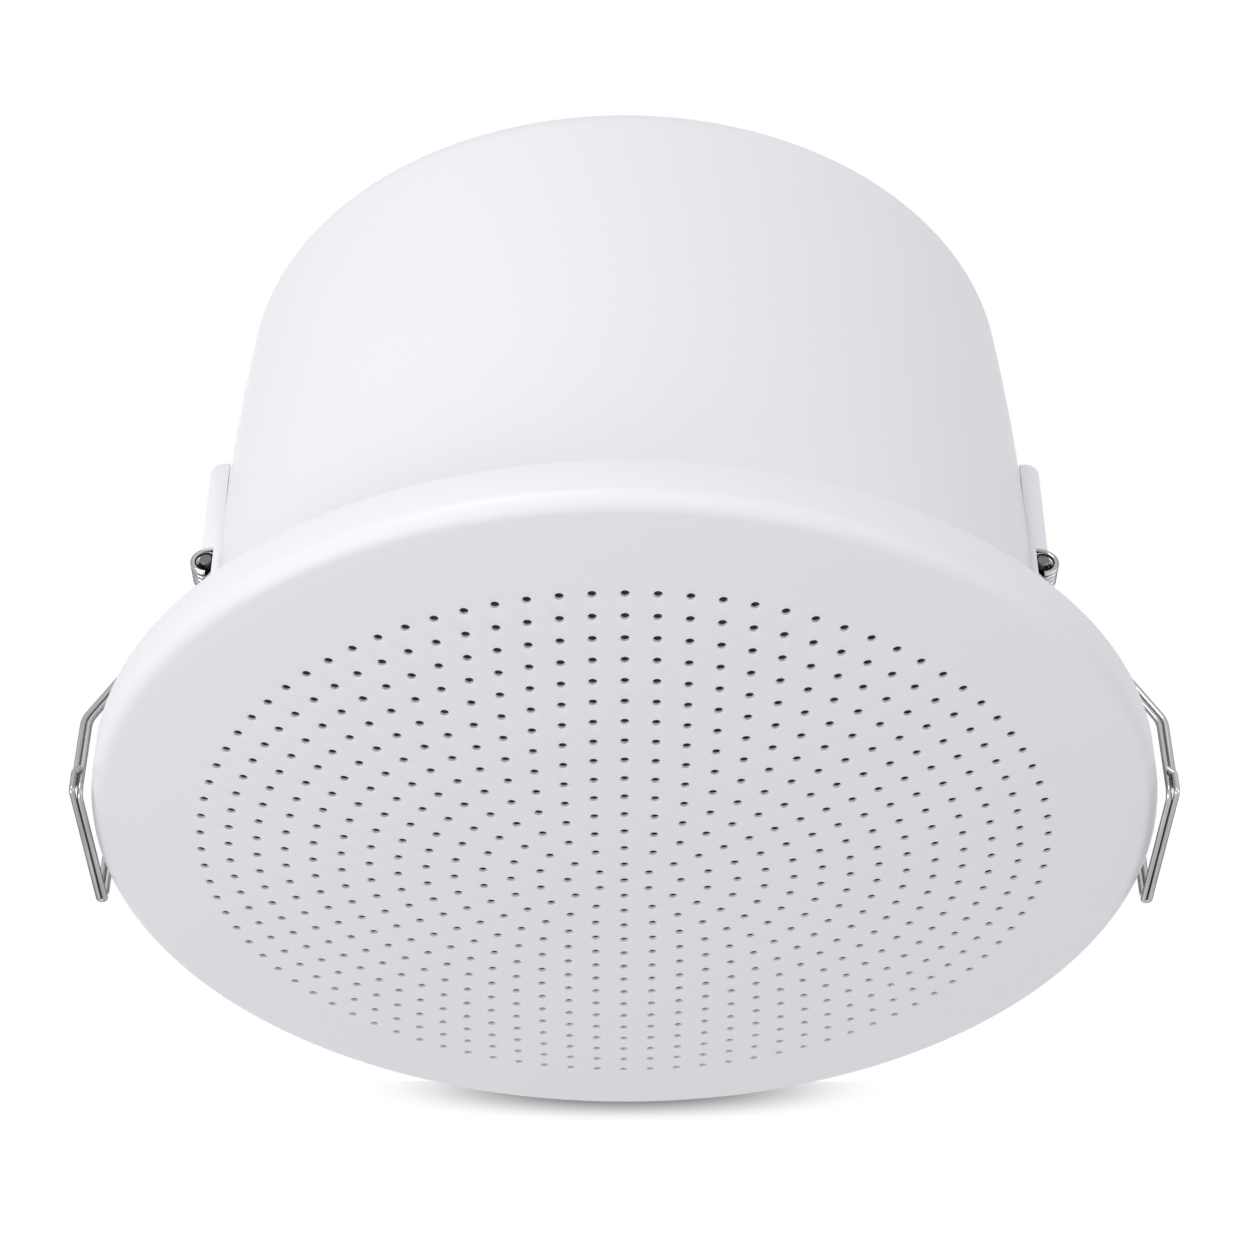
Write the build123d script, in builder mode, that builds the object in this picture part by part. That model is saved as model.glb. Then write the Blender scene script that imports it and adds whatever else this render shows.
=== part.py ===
"""In-ceiling speaker: domed perforated grille, mounting ring, cone driver, steel back can and sprung clips.

The origin is the centre of the ceiling plane, where the rim meets the underside of the ceiling.
+Z points up into the ceiling void, the grille faces -Z and the two clips stand at -X and +X.
"""
import os
from math import acos, asin, atan2, cos, degrees, hypot, pi, radians, sin, tan

from build123d import *

os.makedirs("parts", exist_ok=True)

# Fits
slip_gap = 0.05  # between pieces that are pushed, glued or screwed together
air_gap = 0.3  # between pieces that pass each other

# Grille
grille_radius = 115.0
grille_sheet = 0.8
grille_depth = 19.4  # ceiling plane to the crown's lowest point
crown_radius = 720.0
lip_radius = 4.0  # outside of the turned-up edge
hole_diameter = 1.8
ring_pitch = 6.1
ring_count = 15
holes_per_step = 6  # holes that each ring has more than the ring inside it
cloth_thickness = 0.4
cloth_margin = 5.0  # cloth beyond the outer ring of holes

# Mounting ring
ring_plate = 1.5
ring_skirt = 6.0  # height of the turned-down edge
ring_opening = 73.0  # radius
ring_groove = 0.6  # width of the groove that parts the ceiling face from the can's seat
ring_groove_depth = 0.5

# Back can
can_radius = 94.7  # outside, at the ceiling plane
can_height = 127.0
can_wall = 0.9
can_draft = 0.8  # degrees, on the straight lower wall
can_straight = 56.9  # height of that wall
can_curve = 844.0  # radius of the wall above it
can_corner = 7.0
can_flange = 5.8  # width of the out-turned foot
can_flat = 90.3  # distance of the clip flats from the axis

# Fixings of the can
can_screw_count = 4
can_screw_shank = 1.5  # radius
can_screw_head = 2.3  # radius
can_screw_rise = 1.8
can_screw_shift = 0.4  # screw circle beyond the middle of the foot

# Driver frame
frame_radius = 82.5
frame_sheet = 1.2
frame_bend = 1.5
frame_shoulder = 2.0  # basket's first step inwards
frame_shoulder_rise = 10.0
ledge_margin = 3.0  # ledge beyond the spider
screw_circle = 78.5  # radius
driver_screw_count = 4
driver_screw_shank = 1.9
driver_screw_head = 3.6
driver_screw_rise = 2.4
screw_tail = 1.2  # screw beyond the mounting ring
window_count = 6
window_width = 15.0
window_angle = 34.0
window_shift = 1.0  # windows outwards from the middle of the basket's slope

# Cone and suspension
cone_edge = 57.5  # radius
cone_lip = 3.0
cone_sheet = 0.6
cone_depth = 30.0
roll_width = 13.0
surround_lip = 5.5
surround_sheet = 0.6
gasket_step = 1.4  # gasket under the surround's outer lip
cap_radius = 17.5
cap_rise = 7.0
cap_sheet = 0.5
spider_sheet = 0.5
spider_wave = 2.0
spider_waves = 3
spider_height = 36.0
spider_land = 5.0
spider_radius = 41.0
spider_neck = 2.5  # flat part next to the voice coil
spider_margin = 1.0  # flat part inside the ledge
spider_bend = 0.7

# Motor
pole_radius = 12.4
former_inside = 12.8
former_wall = 0.2
winding_wall = 0.5
winding_length = 8.0
former_overlap = 2.0  # former below the cone's root
gap_outside = 13.9  # radius of the top plate's hole
motor_height = 46.0  # ceiling plane to the top plate
top_plate = 5.0
top_plate_radius = 37.0
magnet_inside = 17.0
magnet_radius = 42.0
magnet_thickness = 12.0
yoke_radius = 38.0
yoke_plate = 5.0
vent_radius = 4.0
plate_chamfer = 0.5
magnet_chamfer = 1.0
yoke_chamfer = 1.5
seat_inside = 15.5  # radius of the frame's rear opening

# Transformer
core_width = 42.0
core_height = 36.0
core_stack = 16.0
limb_width = 14.0
window_height = 24.0
coil_overhang = 8.0  # winding beyond each face of the stack
strap_sheet = 1.0
strap_foot = 10.0
strap_screw = 1.9  # radius
strap_screw_head = 3.8  # radius
strap_screw_rise = 1.6

# Terminal block and cable entries
block_length = 36.0
block_width = 18.0
block_height = 14.0
block_poles = 3
block_offset = 46.0  # block centre from the axis
block_corner = 1.5
block_web = 3.6  # wall between the two rows of slots
pole_slot = 7.0
pole_slot_depth = 5.0
clamp_screw = 2.2  # radius
clamp_spacing = 11.9
clamp_sink = 1.0  # clamp screw below the block's face
block_screw = 1.7  # radius
block_screw_head = 3.4  # radius
block_screw_rise = 1.4
block_screw_sink = 1.0  # screw's end above the slots' floor
entry_spacing = 70.0
entry_hole = 6.5  # radius in the roof
entry_bore = 4.0  # radius of the cable's way
entry_lip = 2.0
entry_slope = 1.0  # bevel of the grommet's upper lip
tag_width = 16.0
tag_height = 11.0
tag_board = 1.6
tag_pitch = 8.0
tag_size = 2.6
tag_sheet = 0.8
tag_reach = 3.5  # tag beyond each face of the board

# Clips
wire = 1.3  # diameter
coil_radius = 3.0  # to the wire's middle
coil_turns = 3.5
coil_start = 14.2  # first wire from the clip's middle
pivot_x = 94.05
pivot_z = 52.6
pin_radius = 1.5
pin_chamfer = 0.3
bracket_sheet = 1.2
bracket_half = 22.8
bracket_face = 95.0  # outer face from the axis
bracket_low = 56.9  # lower edge of the face
cheek_low = 54.4  # lower corner of each side
cheek_rise = 1.0  # that edge's climb towards the can
cheek_gap = 0.45  # slit between each side and the can
bracket_top = 80.0
bracket_corner = 3.0
rail_width = 2.1
rail_top = 56.0
knuckle_half = 13.2
knuckle_overlap = 2.0  # knuckle's strap up the back of the face
rivet_heights = (63.0, 73.0)
rivet_radius = 1.6
rivet_head = 3.2
rivet_rise = 1.1
rivet_seat = 4.5
tail_length = 12.0
leg_bend = (116.6, 8.7)
leg_tip = (116.75, -8.9)
leg_bend_radius = 6.0
leg_chamfer = 0.25
bail_strands = 2
bail_low = -11.0  # height of the cross bars
bail_corner = 2.6
bail_overlap = 9.0  # doubled wire above the bend
end_turn = 300.0  # degrees of wire round the pin

# Grille geometry that other pieces seat on
crown_centre = crown_radius - grille_depth
lip_angle = degrees(asin((grille_radius - lip_radius) / (crown_radius - lip_radius)))
grille_inside = grille_radius - grille_sheet


def bent_sheet(points, bend, thickness, side=Side.LEFT):
    """Return the section of a bent sheet in the XZ plane, along the given points."""
    with BuildSketch(Plane.XZ) as section:
        with BuildLine():
            FilletPolyline(*points, radius=bend)
            offset(amount=thickness, side=side)
        make_face()
    return section.sketch


def revolved_box(inner, outer, low, high):
    """Return the section of a ring, or of a disc if inner is 0, in the XZ plane."""
    with BuildSketch(Plane.XZ) as section:
        with Locations(((inner + outer) / 2, (low + high) / 2)):
            Rectangle(outer - inner, high - low)
    return section.sketch


def save(piece, name):
    """Label a finished piece and write it to its own file."""
    piece.label = name
    export_step(piece, f"parts/{name}.step", write_pcurves=False)


def pan_screw(shank, head, rise, length):
    """Add a round-headed screw, head upwards, with its seat on the local plane."""
    Cylinder(shank, length, align=(Align.CENTER, Align.CENTER, Align.MAX))
    Cylinder(head, rise, align=(Align.CENTER, Align.CENTER, Align.MIN))


# Grille: one drawn sheet with a shallow crown and a turned-up lip, punched in rings
with BuildPart() as grille:
    with BuildSketch(Plane.XZ):
        with BuildLine():
            outside = CenterArc((0, crown_centre), crown_radius, -90, lip_angle)
            turn = JernArc(outside @ 1, outside % 1, lip_radius, 90 - lip_angle)
            Line(turn @ 1, (grille_radius, 0))
            Line((grille_radius, 0), (grille_inside, 0))
            back = Line((grille_inside, 0), (grille_inside, (turn @ 1).Y))
            bend = JernArc(back @ 1, (0, -1), lip_radius - grille_sheet, lip_angle - 90)
            RadiusArc(bend @ 1, (0, grille_sheet - grille_depth), crown_radius - grille_sheet)
            Line((0, grille_sheet - grille_depth), (0, -grille_depth))
        make_face()
    revolve(axis=Axis.Z)
    for ring in range(ring_count + 1):
        tilt = ring * ring_pitch / crown_radius
        holes = max(1, holes_per_step * ring)
        spots = []
        for step in range(holes):
            around = 2 * pi * step / holes - pi / 2
            outward = Vector(sin(tilt) * cos(around), sin(tilt) * sin(around), -cos(tilt))
            start = Vector(0, 0, crown_centre) + outward * (crown_radius + grille_sheet)
            spots.append(Plane(origin=start, z_dir=outward))
        with Locations(*spots):
            Hole(hole_diameter / 2, depth=3 * grille_sheet)
save(grille.part, "grille")

# Acoustic cloth behind the perforations
cloth_angle = degrees((ring_count * ring_pitch + cloth_margin) / crown_radius)
cloth_outside = crown_radius - grille_sheet - slip_gap
with BuildPart() as cloth:
    with BuildSketch(Plane.XZ):
        with BuildLine():
            front = CenterArc((0, crown_centre), cloth_outside, -90, cloth_angle)
            rear = CenterArc((0, crown_centre), cloth_outside - cloth_thickness, -90, cloth_angle)
            Line(front @ 1, rear @ 1)
            Line(front @ 0, rear @ 0)
        make_face()
    revolve(axis=Axis.Z)
save(cloth.part, "acoustic_cloth")

# Mounting ring: a pressed plate whose skirt is pushed into the grille's lip
can_screw_circle = can_radius + can_flange / 2 + can_screw_shift
groove_inside = can_radius + can_flange + slip_gap
skirt_outside = grille_inside - slip_gap
with BuildPart() as mounting_ring:
    revolve(revolved_box(ring_opening, skirt_outside, -ring_plate, 0), axis=Axis.Z)
    groove = revolved_box(groove_inside, groove_inside + ring_groove, -ring_groove_depth, 0)
    revolve(groove, axis=Axis.Z, mode=Mode.SUBTRACT)
    revolve(revolved_box(skirt_outside - ring_plate, skirt_outside, -ring_skirt, 0), axis=Axis.Z)
    with PolarLocations(screw_circle, driver_screw_count, start_angle=45):
        Hole(driver_screw_shank + slip_gap, depth=2 * ring_plate)
    with PolarLocations(can_screw_circle, can_screw_count, start_angle=45):
        Hole(can_screw_shank + slip_gap, depth=2 * ring_plate)
save(mounting_ring.part, "mounting_ring")

# Back can: drawn steel, with a foot, two flats for the clips and a closed roof
def can_profile(inset):
    """Return the filled half section of the can, moved inwards by the inset."""
    base = can_radius - inset / cos(radians(can_draft))
    shoulder = base - can_straight * tan(radians(can_draft))
    top = can_height - inset
    with BuildSketch(Plane.XZ) as section:
        with BuildLine():
            wall = Line((base, 0), (shoulder, can_straight))
            square = Vector(cos(radians(can_draft)), sin(radians(can_draft)))
            curve_centre = Vector(shoulder, can_straight) - square * (can_curve - inset)
            corner_reach = can_curve - can_corner
            corner_rise = top - (can_corner - inset) - curve_centre.Y
            corner_angle = degrees(asin(corner_rise / corner_reach))
            sweep_angle = corner_angle - can_draft
            curve = CenterArc((curve_centre.X, curve_centre.Y), can_curve - inset, can_draft, sweep_angle)
            corner = JernArc(curve @ 1, curve % 1, can_corner - inset, 90 - corner_angle)
            Polyline(corner @ 1, (0, top), (0, 0), wall @ 0)
        make_face()
    return section.sketch


with BuildPart() as can_space:
    revolve(can_profile(can_wall), axis=Axis.Z)
    for plane in (Plane.YZ, Plane.YZ.rotated((0, 180, 0))):
        split(bisect_by=plane.offset(can_flat - can_wall), keep=Keep.BOTTOM)

roof = can_height - can_wall
strap_screw_x = core_width / 2 + strap_sheet + strap_foot / 2
with BuildPart() as back_can:
    revolve(can_profile(0), axis=Axis.Z)
    with BuildSketch(Plane.XY.offset(can_wall)):
        for side in (1, -1):
            with Locations((side * can_flat, 0)):
                beyond = Align.MIN if side > 0 else Align.MAX
                Rectangle(can_radius, 2 * can_radius, align=(beyond, Align.CENTER))
    extrude(amount=can_height, mode=Mode.SUBTRACT)
    Cylinder(can_radius + can_flange, can_wall, align=(Align.CENTER, Align.CENTER, Align.MIN))
    add(can_space.part, mode=Mode.SUBTRACT)
    with PolarLocations(can_screw_circle, can_screw_count, start_angle=45):
        Hole(can_screw_shank + slip_gap, depth=can_height)
    with BuildSketch(Plane.XY.offset(roof)):
        with Locations((-entry_spacing / 2, block_offset), (entry_spacing / 2, block_offset)):
            Circle(entry_hole)
        with Locations((-strap_screw_x, 0), (strap_screw_x, 0)):
            Circle(strap_screw + slip_gap)
        with Locations((0, block_offset)):
            Circle(block_screw + slip_gap)
    extrude(amount=2 * can_wall, mode=Mode.SUBTRACT)
    with BuildSketch(Plane.YZ):
        with Locations(*[(0, height) for height in rivet_heights]):
            Circle(rivet_radius + slip_gap)
    extrude(amount=can_radius, both=True, mode=Mode.SUBTRACT)
save(back_can.part, "back_can")

# Screws that hold the can to the ring
with BuildPart() as can_screws:
    with PolarLocations(can_screw_circle, can_screw_count, start_angle=45):
        with Locations((0, 0, can_wall)):
            pan_screw(can_screw_shank, can_screw_head, can_screw_rise, can_wall + ring_plate + screw_tail)
save(can_screws.part, "can_screws")

# Driver: levels above the ceiling plane
gasket_top = gasket_step + surround_sheet
frame_back = gasket_top + frame_sheet
surround_inside = cone_edge - cone_lip
roll_outside = cone_edge + roll_width
cone_foot = gasket_top
cone_root = former_inside + former_wall + slip_gap
cone_top = cone_foot + cone_depth
cone_slope = cone_depth / (cone_edge - cone_lip - cone_root)

with BuildPart() as gasket:
    revolve(revolved_box(ring_opening, frame_radius, 0, gasket_step), axis=Axis.Z)
    revolve(revolved_box(roll_outside + surround_lip + slip_gap, frame_radius, 0, gasket_top), axis=Axis.Z)
    with PolarLocations(screw_circle, driver_screw_count, start_angle=45):
        Hole(driver_screw_shank + slip_gap, depth=2 * gasket_top)
save(gasket.part, "driver_gasket")

# Frame: pressed basket with six windows, a ledge for the spider and a rear seat for the motor
frame_waist = spider_radius - spider_land
ledge_height = spider_height + spider_sheet
seat_height = motor_height - frame_sheet
frame_line = [
    (frame_radius, gasket_top),
    (roll_outside, gasket_top),
    (roll_outside - frame_shoulder, gasket_top + frame_shoulder_rise),
    (spider_radius + ledge_margin, ledge_height),
    (frame_waist, ledge_height),
    (frame_waist, seat_height),
    (seat_inside, seat_height),
]
window_radius = (spider_radius + roll_outside) / 2 + window_shift
with BuildPart() as frame:
    revolve(bent_sheet(frame_line, frame_bend, frame_sheet, Side.RIGHT), axis=Axis.Z)
    with BuildSketch(Plane.XY.offset(frame_back)):
        for window in range(window_count):
            start = 360 / window_count * window - window_angle / 2
            SlotArc(CenterArc((0, 0), window_radius, start, window_angle), window_width)
    extrude(amount=ledge_height, mode=Mode.SUBTRACT)
    with PolarLocations(screw_circle, driver_screw_count, start_angle=45):
        Hole(driver_screw_shank + slip_gap, depth=2 * frame_back)
save(frame.part, "driver_frame")

driver_screw_length = frame_back + ring_plate + screw_tail
with BuildPart() as driver_screws:
    with PolarLocations(screw_circle, driver_screw_count, start_angle=45):
        with Locations((0, 0, frame_back)):
            pan_screw(driver_screw_shank, driver_screw_head, driver_screw_rise, driver_screw_length)
save(driver_screws.part, "driver_screws")

# Surround: half roll between the cone's edge and the frame
with BuildPart() as surround:
    with BuildSketch(Plane.XZ):
        with BuildLine():
            Line((surround_inside, gasket_step), (cone_edge, gasket_step))
            roll = CenterArc((cone_edge + roll_width / 2, gasket_step), roll_width / 2, 180, 180)
            Line(roll @ 1, (roll_outside + surround_lip, gasket_step))
            offset(amount=surround_sheet, side=Side.LEFT)
        make_face()
    revolve(axis=Axis.Z)
save(surround.part, "surround")

with BuildPart() as cone:
    with BuildSketch(Plane.XZ):
        with BuildLine():
            Polyline((cone_edge, cone_foot), (surround_inside, cone_foot), (cone_root, cone_top))
            offset(amount=cone_sheet, side=Side.RIGHT)
        make_face()
        with Locations((0, cone_top)):
            Rectangle(2 * cone_root, cone_depth, mode=Mode.SUBTRACT)
    revolve(axis=Axis.Z)
save(cone.part, "cone")

# Dust cap: a shallow dome glued to the front of the cone
cap_seat = cone_top - (cap_radius - cone_root) * cone_slope - slip_gap
cap_sphere = (cap_radius**2 + cap_rise**2) / (2 * cap_rise)
cap_front = cap_seat - cap_rise
half_angle = atan2(cap_radius, cap_sphere - cap_rise) / 2
with BuildPart() as dust_cap:
    with BuildSketch(Plane.XZ):
        with BuildLine():
            halfway = (cap_sphere * sin(half_angle), cap_front + cap_sphere * (1 - cos(half_angle)))
            ThreePointArc((0, cap_front), halfway, (cap_radius, cap_seat))
            offset(amount=cap_sheet, side=Side.LEFT)
        make_face()
        with Locations((cap_radius / 2, cap_seat + cap_rise / 2)):
            Rectangle(cap_radius, cap_rise, mode=Mode.SUBTRACT)
    revolve(axis=Axis.Z)
save(dust_cap.part, "dust_cap")

# Spider: corrugated cloth between the voice coil and the frame's ledge
spider_inside = former_inside + former_wall + slip_gap
wave_start = spider_inside + spider_neck
wave_end = frame_waist - spider_margin
wave_step = (wave_end - wave_start) / (2 * spider_waves)
spider_line = [(spider_inside, spider_height), (wave_start, spider_height)]
for wave in range(2 * spider_waves - 1):
    lift = spider_wave if wave % 2 else -spider_wave
    spider_line.append((wave_start + wave_step * (wave + 1), spider_height + lift))
spider_line += [(wave_end, spider_height), (spider_radius, spider_height)]
with BuildPart() as spider:
    revolve(bent_sheet(spider_line, spider_bend, spider_sheet), axis=Axis.Z)
save(spider.part, "spider")

# Voice coil: a thin former with its winding in the motor's gap
winding_middle = motor_height + top_plate / 2
with BuildPart() as voice_coil:
    former_outside = former_inside + former_wall
    former_end = winding_middle + winding_length / 2
    former_start = cone_top - former_overlap
    revolve(revolved_box(former_inside, former_outside, former_start, former_end), axis=Axis.Z)
    winding = (winding_middle - winding_length / 2, former_end)
    revolve(revolved_box(former_inside, former_outside + winding_wall, *winding), axis=Axis.Z)
save(voice_coil.part, "voice_coil")

# Motor: top plate, ferrite ring and yoke with a vented pole
magnet_foot = motor_height + top_plate
yoke_foot = magnet_foot + magnet_thickness
with BuildPart() as plate:
    revolve(revolved_box(gap_outside, top_plate_radius, motor_height, magnet_foot), axis=Axis.Z)
    chamfer(plate.edges().filter_by(GeomType.CIRCLE).group_by(SortBy.RADIUS)[-1], plate_chamfer)
save(plate.part, "top_plate")

with BuildPart() as magnet:
    revolve(revolved_box(magnet_inside, magnet_radius, magnet_foot, yoke_foot), axis=Axis.Z)
    chamfer(magnet.edges().filter_by(GeomType.CIRCLE).group_by(SortBy.RADIUS)[-1], magnet_chamfer)
save(magnet.part, "magnet")

with BuildPart() as yoke:
    revolve(revolved_box(0, yoke_radius, yoke_foot, yoke_foot + yoke_plate), axis=Axis.Z)
    chamfer(yoke.edges().sort_by(Axis.Z)[-1], yoke_chamfer)
    revolve(revolved_box(0, pole_radius, motor_height, yoke_foot), axis=Axis.Z)
    with Locations((0, 0, yoke_foot + yoke_plate)):
        Hole(vent_radius, depth=yoke_plate + yoke_foot)
save(yoke.part, "yoke")

# Tag board on the frame's rim, with two solder tags
tag_radius = (roll_outside + frame_radius) / 2
tag_middle = frame_back + tag_height / 2
with BuildPart() as tag_plate:
    with Locations((0, tag_radius, frame_back)):
        Box(tag_width, tag_board, tag_height, align=(Align.CENTER, Align.CENTER, Align.MIN))
    with BuildSketch(Plane.XZ):
        with Locations((-tag_pitch / 2, tag_middle), (tag_pitch / 2, tag_middle)):
            Rectangle(tag_size + 2 * slip_gap, tag_sheet + 2 * slip_gap)
    extrude(amount=-frame_radius, mode=Mode.SUBTRACT)
save(tag_plate.part, "tag_board")

with BuildPart() as tags:
    with Locations((-tag_pitch / 2, tag_radius, tag_middle), (tag_pitch / 2, tag_radius, tag_middle)):
        Box(tag_size, tag_board + 2 * tag_reach, tag_sheet)
save(tags.part, "solder_tags")

# Transformer under the roof: laminated core, winding and a strap with two feet
core_top = roof
core_foot = core_top - core_height
side_window = (core_width - limb_width) / 4
window_middle = limb_width / 2 + side_window / 2
with BuildPart() as core:
    with BuildSketch(Plane.XZ.offset(-core_stack / 2)):
        with Locations((0, (core_top + core_foot) / 2)):
            Rectangle(core_width, core_height)
            with Locations((-window_middle, 0), (window_middle, 0)):
                Rectangle(side_window, window_height, mode=Mode.SUBTRACT)
    extrude(amount=core_stack)
save(core.part, "transformer_core")

winding_width = limb_width + 2 * side_window - 2 * slip_gap
with BuildPart() as coil:
    with Locations((0, 0, (core_top + core_foot) / 2)):
        Box(winding_width, core_stack + 2 * coil_overhang, window_height - 2 * slip_gap)
    fillet(coil.edges().filter_by(Axis.Z), side_window / 2)
    with Locations((0, 0, (core_top + core_foot) / 2)):
        Box(limb_width + 2 * slip_gap, core_stack + 2 * slip_gap, core_height, mode=Mode.SUBTRACT)
save(coil.part, "transformer_winding")

strap_line = [
    (-strap_screw_x - strap_foot / 2, roof),
    (-core_width / 2 - slip_gap, roof),
    (-core_width / 2 - slip_gap, core_foot - slip_gap),
    (core_width / 2 + slip_gap, core_foot - slip_gap),
    (core_width / 2 + slip_gap, roof),
    (strap_screw_x + strap_foot / 2, roof),
]
with BuildPart() as strap:
    with BuildSketch(Plane.XZ.offset(-core_stack / 2)):
        with BuildLine():
            Polyline(*strap_line)
            offset(amount=strap_sheet, side=Side.RIGHT)
        make_face()
    extrude(amount=core_stack)
    with Locations((-strap_screw_x, 0, roof), (strap_screw_x, 0, roof)):
        Hole(strap_screw + slip_gap, depth=2 * strap_sheet)
save(strap.part, "transformer_strap")

with BuildPart() as strap_screws:
    with Locations((-strap_screw_x, 0, can_height), (strap_screw_x, 0, can_height)):
        pan_screw(strap_screw, strap_screw_head, strap_screw_rise, can_wall + strap_sheet + screw_tail)
save(strap_screws.part, "transformer_screws")

# Ceramic terminal block under the roof
block_foot = roof - block_height
pole_pitch = block_length / block_poles
with BuildPart() as block:
    with Locations((0, block_offset, roof)):
        Box(block_length, block_width, block_height, align=(Align.CENTER, Align.CENTER, Align.MAX))
    fillet(block.edges().filter_by(Axis.Z), block_corner)
    with Locations((0, block_offset, block_foot)):
        with GridLocations(pole_pitch, block_width, block_poles, 2):
            Box(pole_slot, block_width - block_web, 2 * pole_slot_depth, mode=Mode.SUBTRACT)
    with Locations((0, block_offset, roof)):
        Hole(block_screw + slip_gap, depth=block_height)
save(block.part, "terminal_block")

with BuildPart() as clamp_screws:
    with Locations((0, block_offset, block_foot + pole_slot_depth)):
        with GridLocations(pole_pitch, clamp_spacing, block_poles, 2):
            downwards = (Align.CENTER, Align.CENTER, Align.MAX)
            Cylinder(clamp_screw, pole_slot_depth - clamp_sink, align=downwards)
save(clamp_screws.part, "clamp_screws")

block_screw_length = can_wall + block_height - pole_slot_depth - block_screw_sink
with BuildPart() as block_fixing:
    with Locations((0, block_offset, can_height)):
        pan_screw(block_screw, block_screw_head, block_screw_rise, block_screw_length)
save(block_fixing.part, "block_screw")

# Rubber grommets at the two cable entries
waist = entry_hole - slip_gap
lip_outside = entry_hole + entry_lip
with BuildPart() as grommets:
    with BuildSketch(Plane.XZ) as ring_section:
        with BuildLine():
            Polyline(
                (entry_bore, roof - entry_lip),
                (lip_outside, roof - entry_lip),
                (lip_outside, roof - slip_gap),
                (waist, roof - slip_gap),
                (waist, can_height + slip_gap),
                (lip_outside, can_height + slip_gap),
                (lip_outside - entry_slope, can_height + entry_lip),
                (entry_bore, can_height + entry_lip),
                close=True,
            )
        make_face()
    one = revolve(ring_section.sketch, axis=Axis.Z, mode=Mode.PRIVATE)
    with Locations((-entry_spacing / 2, block_offset), (entry_spacing / 2, block_offset)):
        add(one)
save(grommets.part, "cable_grommets")

# Clip at +X: bracket, pin, coils, swinging legs and bail
rail_foot = can_wall + air_gap
with BuildPart() as bracket:
    with BuildSketch(Plane.XZ.offset(-bracket_half)) as cheek:
        with BuildLine():
            Polyline(
                (can_flat + cheek_gap, cheek_low + cheek_rise),
                (bracket_face, cheek_low),
                (bracket_face, bracket_top),
                (can_flat + cheek_gap, bracket_top),
                close=True,
            )
        make_face()
        fillet(cheek.vertices().group_by(Axis.Y)[-1].sort_by(Axis.X)[-1], bracket_corner)
        with Locations((can_flat + slip_gap, rail_foot)):
            Rectangle(rail_width, rail_top - rail_foot, align=(Align.MIN, Align.MIN))
    extrude(amount=2 * bracket_half)
    with BuildSketch(Plane.XY):
        Rectangle(2 * (bracket_face - bracket_sheet), 2 * (bracket_half - bracket_sheet))
    extrude(amount=bracket_top + air_gap, mode=Mode.SUBTRACT)
    with BuildSketch(Plane.XY):
        Rectangle(2 * (bracket_face + air_gap), 2 * (bracket_half - bracket_sheet))
    extrude(amount=bracket_low, mode=Mode.SUBTRACT)
    with BuildSketch(Plane.XZ.offset(-knuckle_half)):
        with Locations((pivot_x, pivot_z)):
            Circle(pin_radius + slip_gap + bracket_sheet)
        with Locations((bracket_face, pivot_z)):
            Rectangle(bracket_sheet, bracket_low + knuckle_overlap - pivot_z, align=(Align.MAX, Align.MIN))
        with Locations((pivot_x, pivot_z)):
            Circle(pin_radius + slip_gap, mode=Mode.SUBTRACT)
    extrude(amount=2 * knuckle_half)
    with BuildSketch(Plane.YZ.offset(can_flat)):
        with Locations(*[(0, height) for height in rivet_heights]):
            Circle(rivet_seat)
    extrude(amount=bracket_face - can_flat - bracket_sheet / 2)
    with BuildSketch(Plane.YZ.offset(can_flat)):
        with Locations(*[(0, height) for height in rivet_heights]):
            Circle(rivet_radius + slip_gap)
    extrude(amount=can_radius, mode=Mode.SUBTRACT)

with BuildPart() as pin:
    with BuildSketch(Plane.XZ.offset(-(bracket_half - bracket_sheet - slip_gap))):
        with Locations((pivot_x, pivot_z)):
            Circle(pin_radius)
    extrude(amount=2 * (bracket_half - bracket_sheet - slip_gap))
    chamfer(pin.edges().filter_by(GeomType.CIRCLE), pin_chamfer)

with BuildPart() as rivets:
    with BuildSketch(Plane.YZ.offset(can_flat - can_wall - rivet_rise)) as shanks:
        with Locations(*[(0, height) for height in rivet_heights]):
            Circle(rivet_radius)
    extrude(amount=bracket_face - can_flat + can_wall + 2 * rivet_rise)
    for plane in (can_flat - can_wall - rivet_rise, bracket_face):
        with BuildSketch(Plane.YZ.offset(plane)):
            with Locations(*[(0, height) for height in rivet_heights]):
                Circle(rivet_head)
        extrude(amount=rivet_rise)

# Each half turn is a tilted half circle, so the wire runs on without a kink
coil_pitch = wire + slip_gap
half_turns = round(2 * coil_turns)
half_radius = hypot(coil_radius, coil_pitch / 4)
with BuildPart() as coils:
    with BuildLine():
        here = Vector(pivot_x - coil_radius, coil_start, pivot_z)
        tail = Line(here + Vector(0, 0, tail_length), here)
        for turn in range(half_turns):
            side = 1 if turn % 2 == 0 else -1
            there = here + Vector(side * 2 * coil_radius, coil_pitch / 2, 0)
            ThreePointArc(here, (here + there) / 2 - Vector(0, 0, side * half_radius), there)
            here = there
    with BuildSketch(Plane(origin=tail @ 0, z_dir=tail % 0)):
        Circle(wire / 2)
    sweep()
    mirror(about=Plane.XZ)

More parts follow.
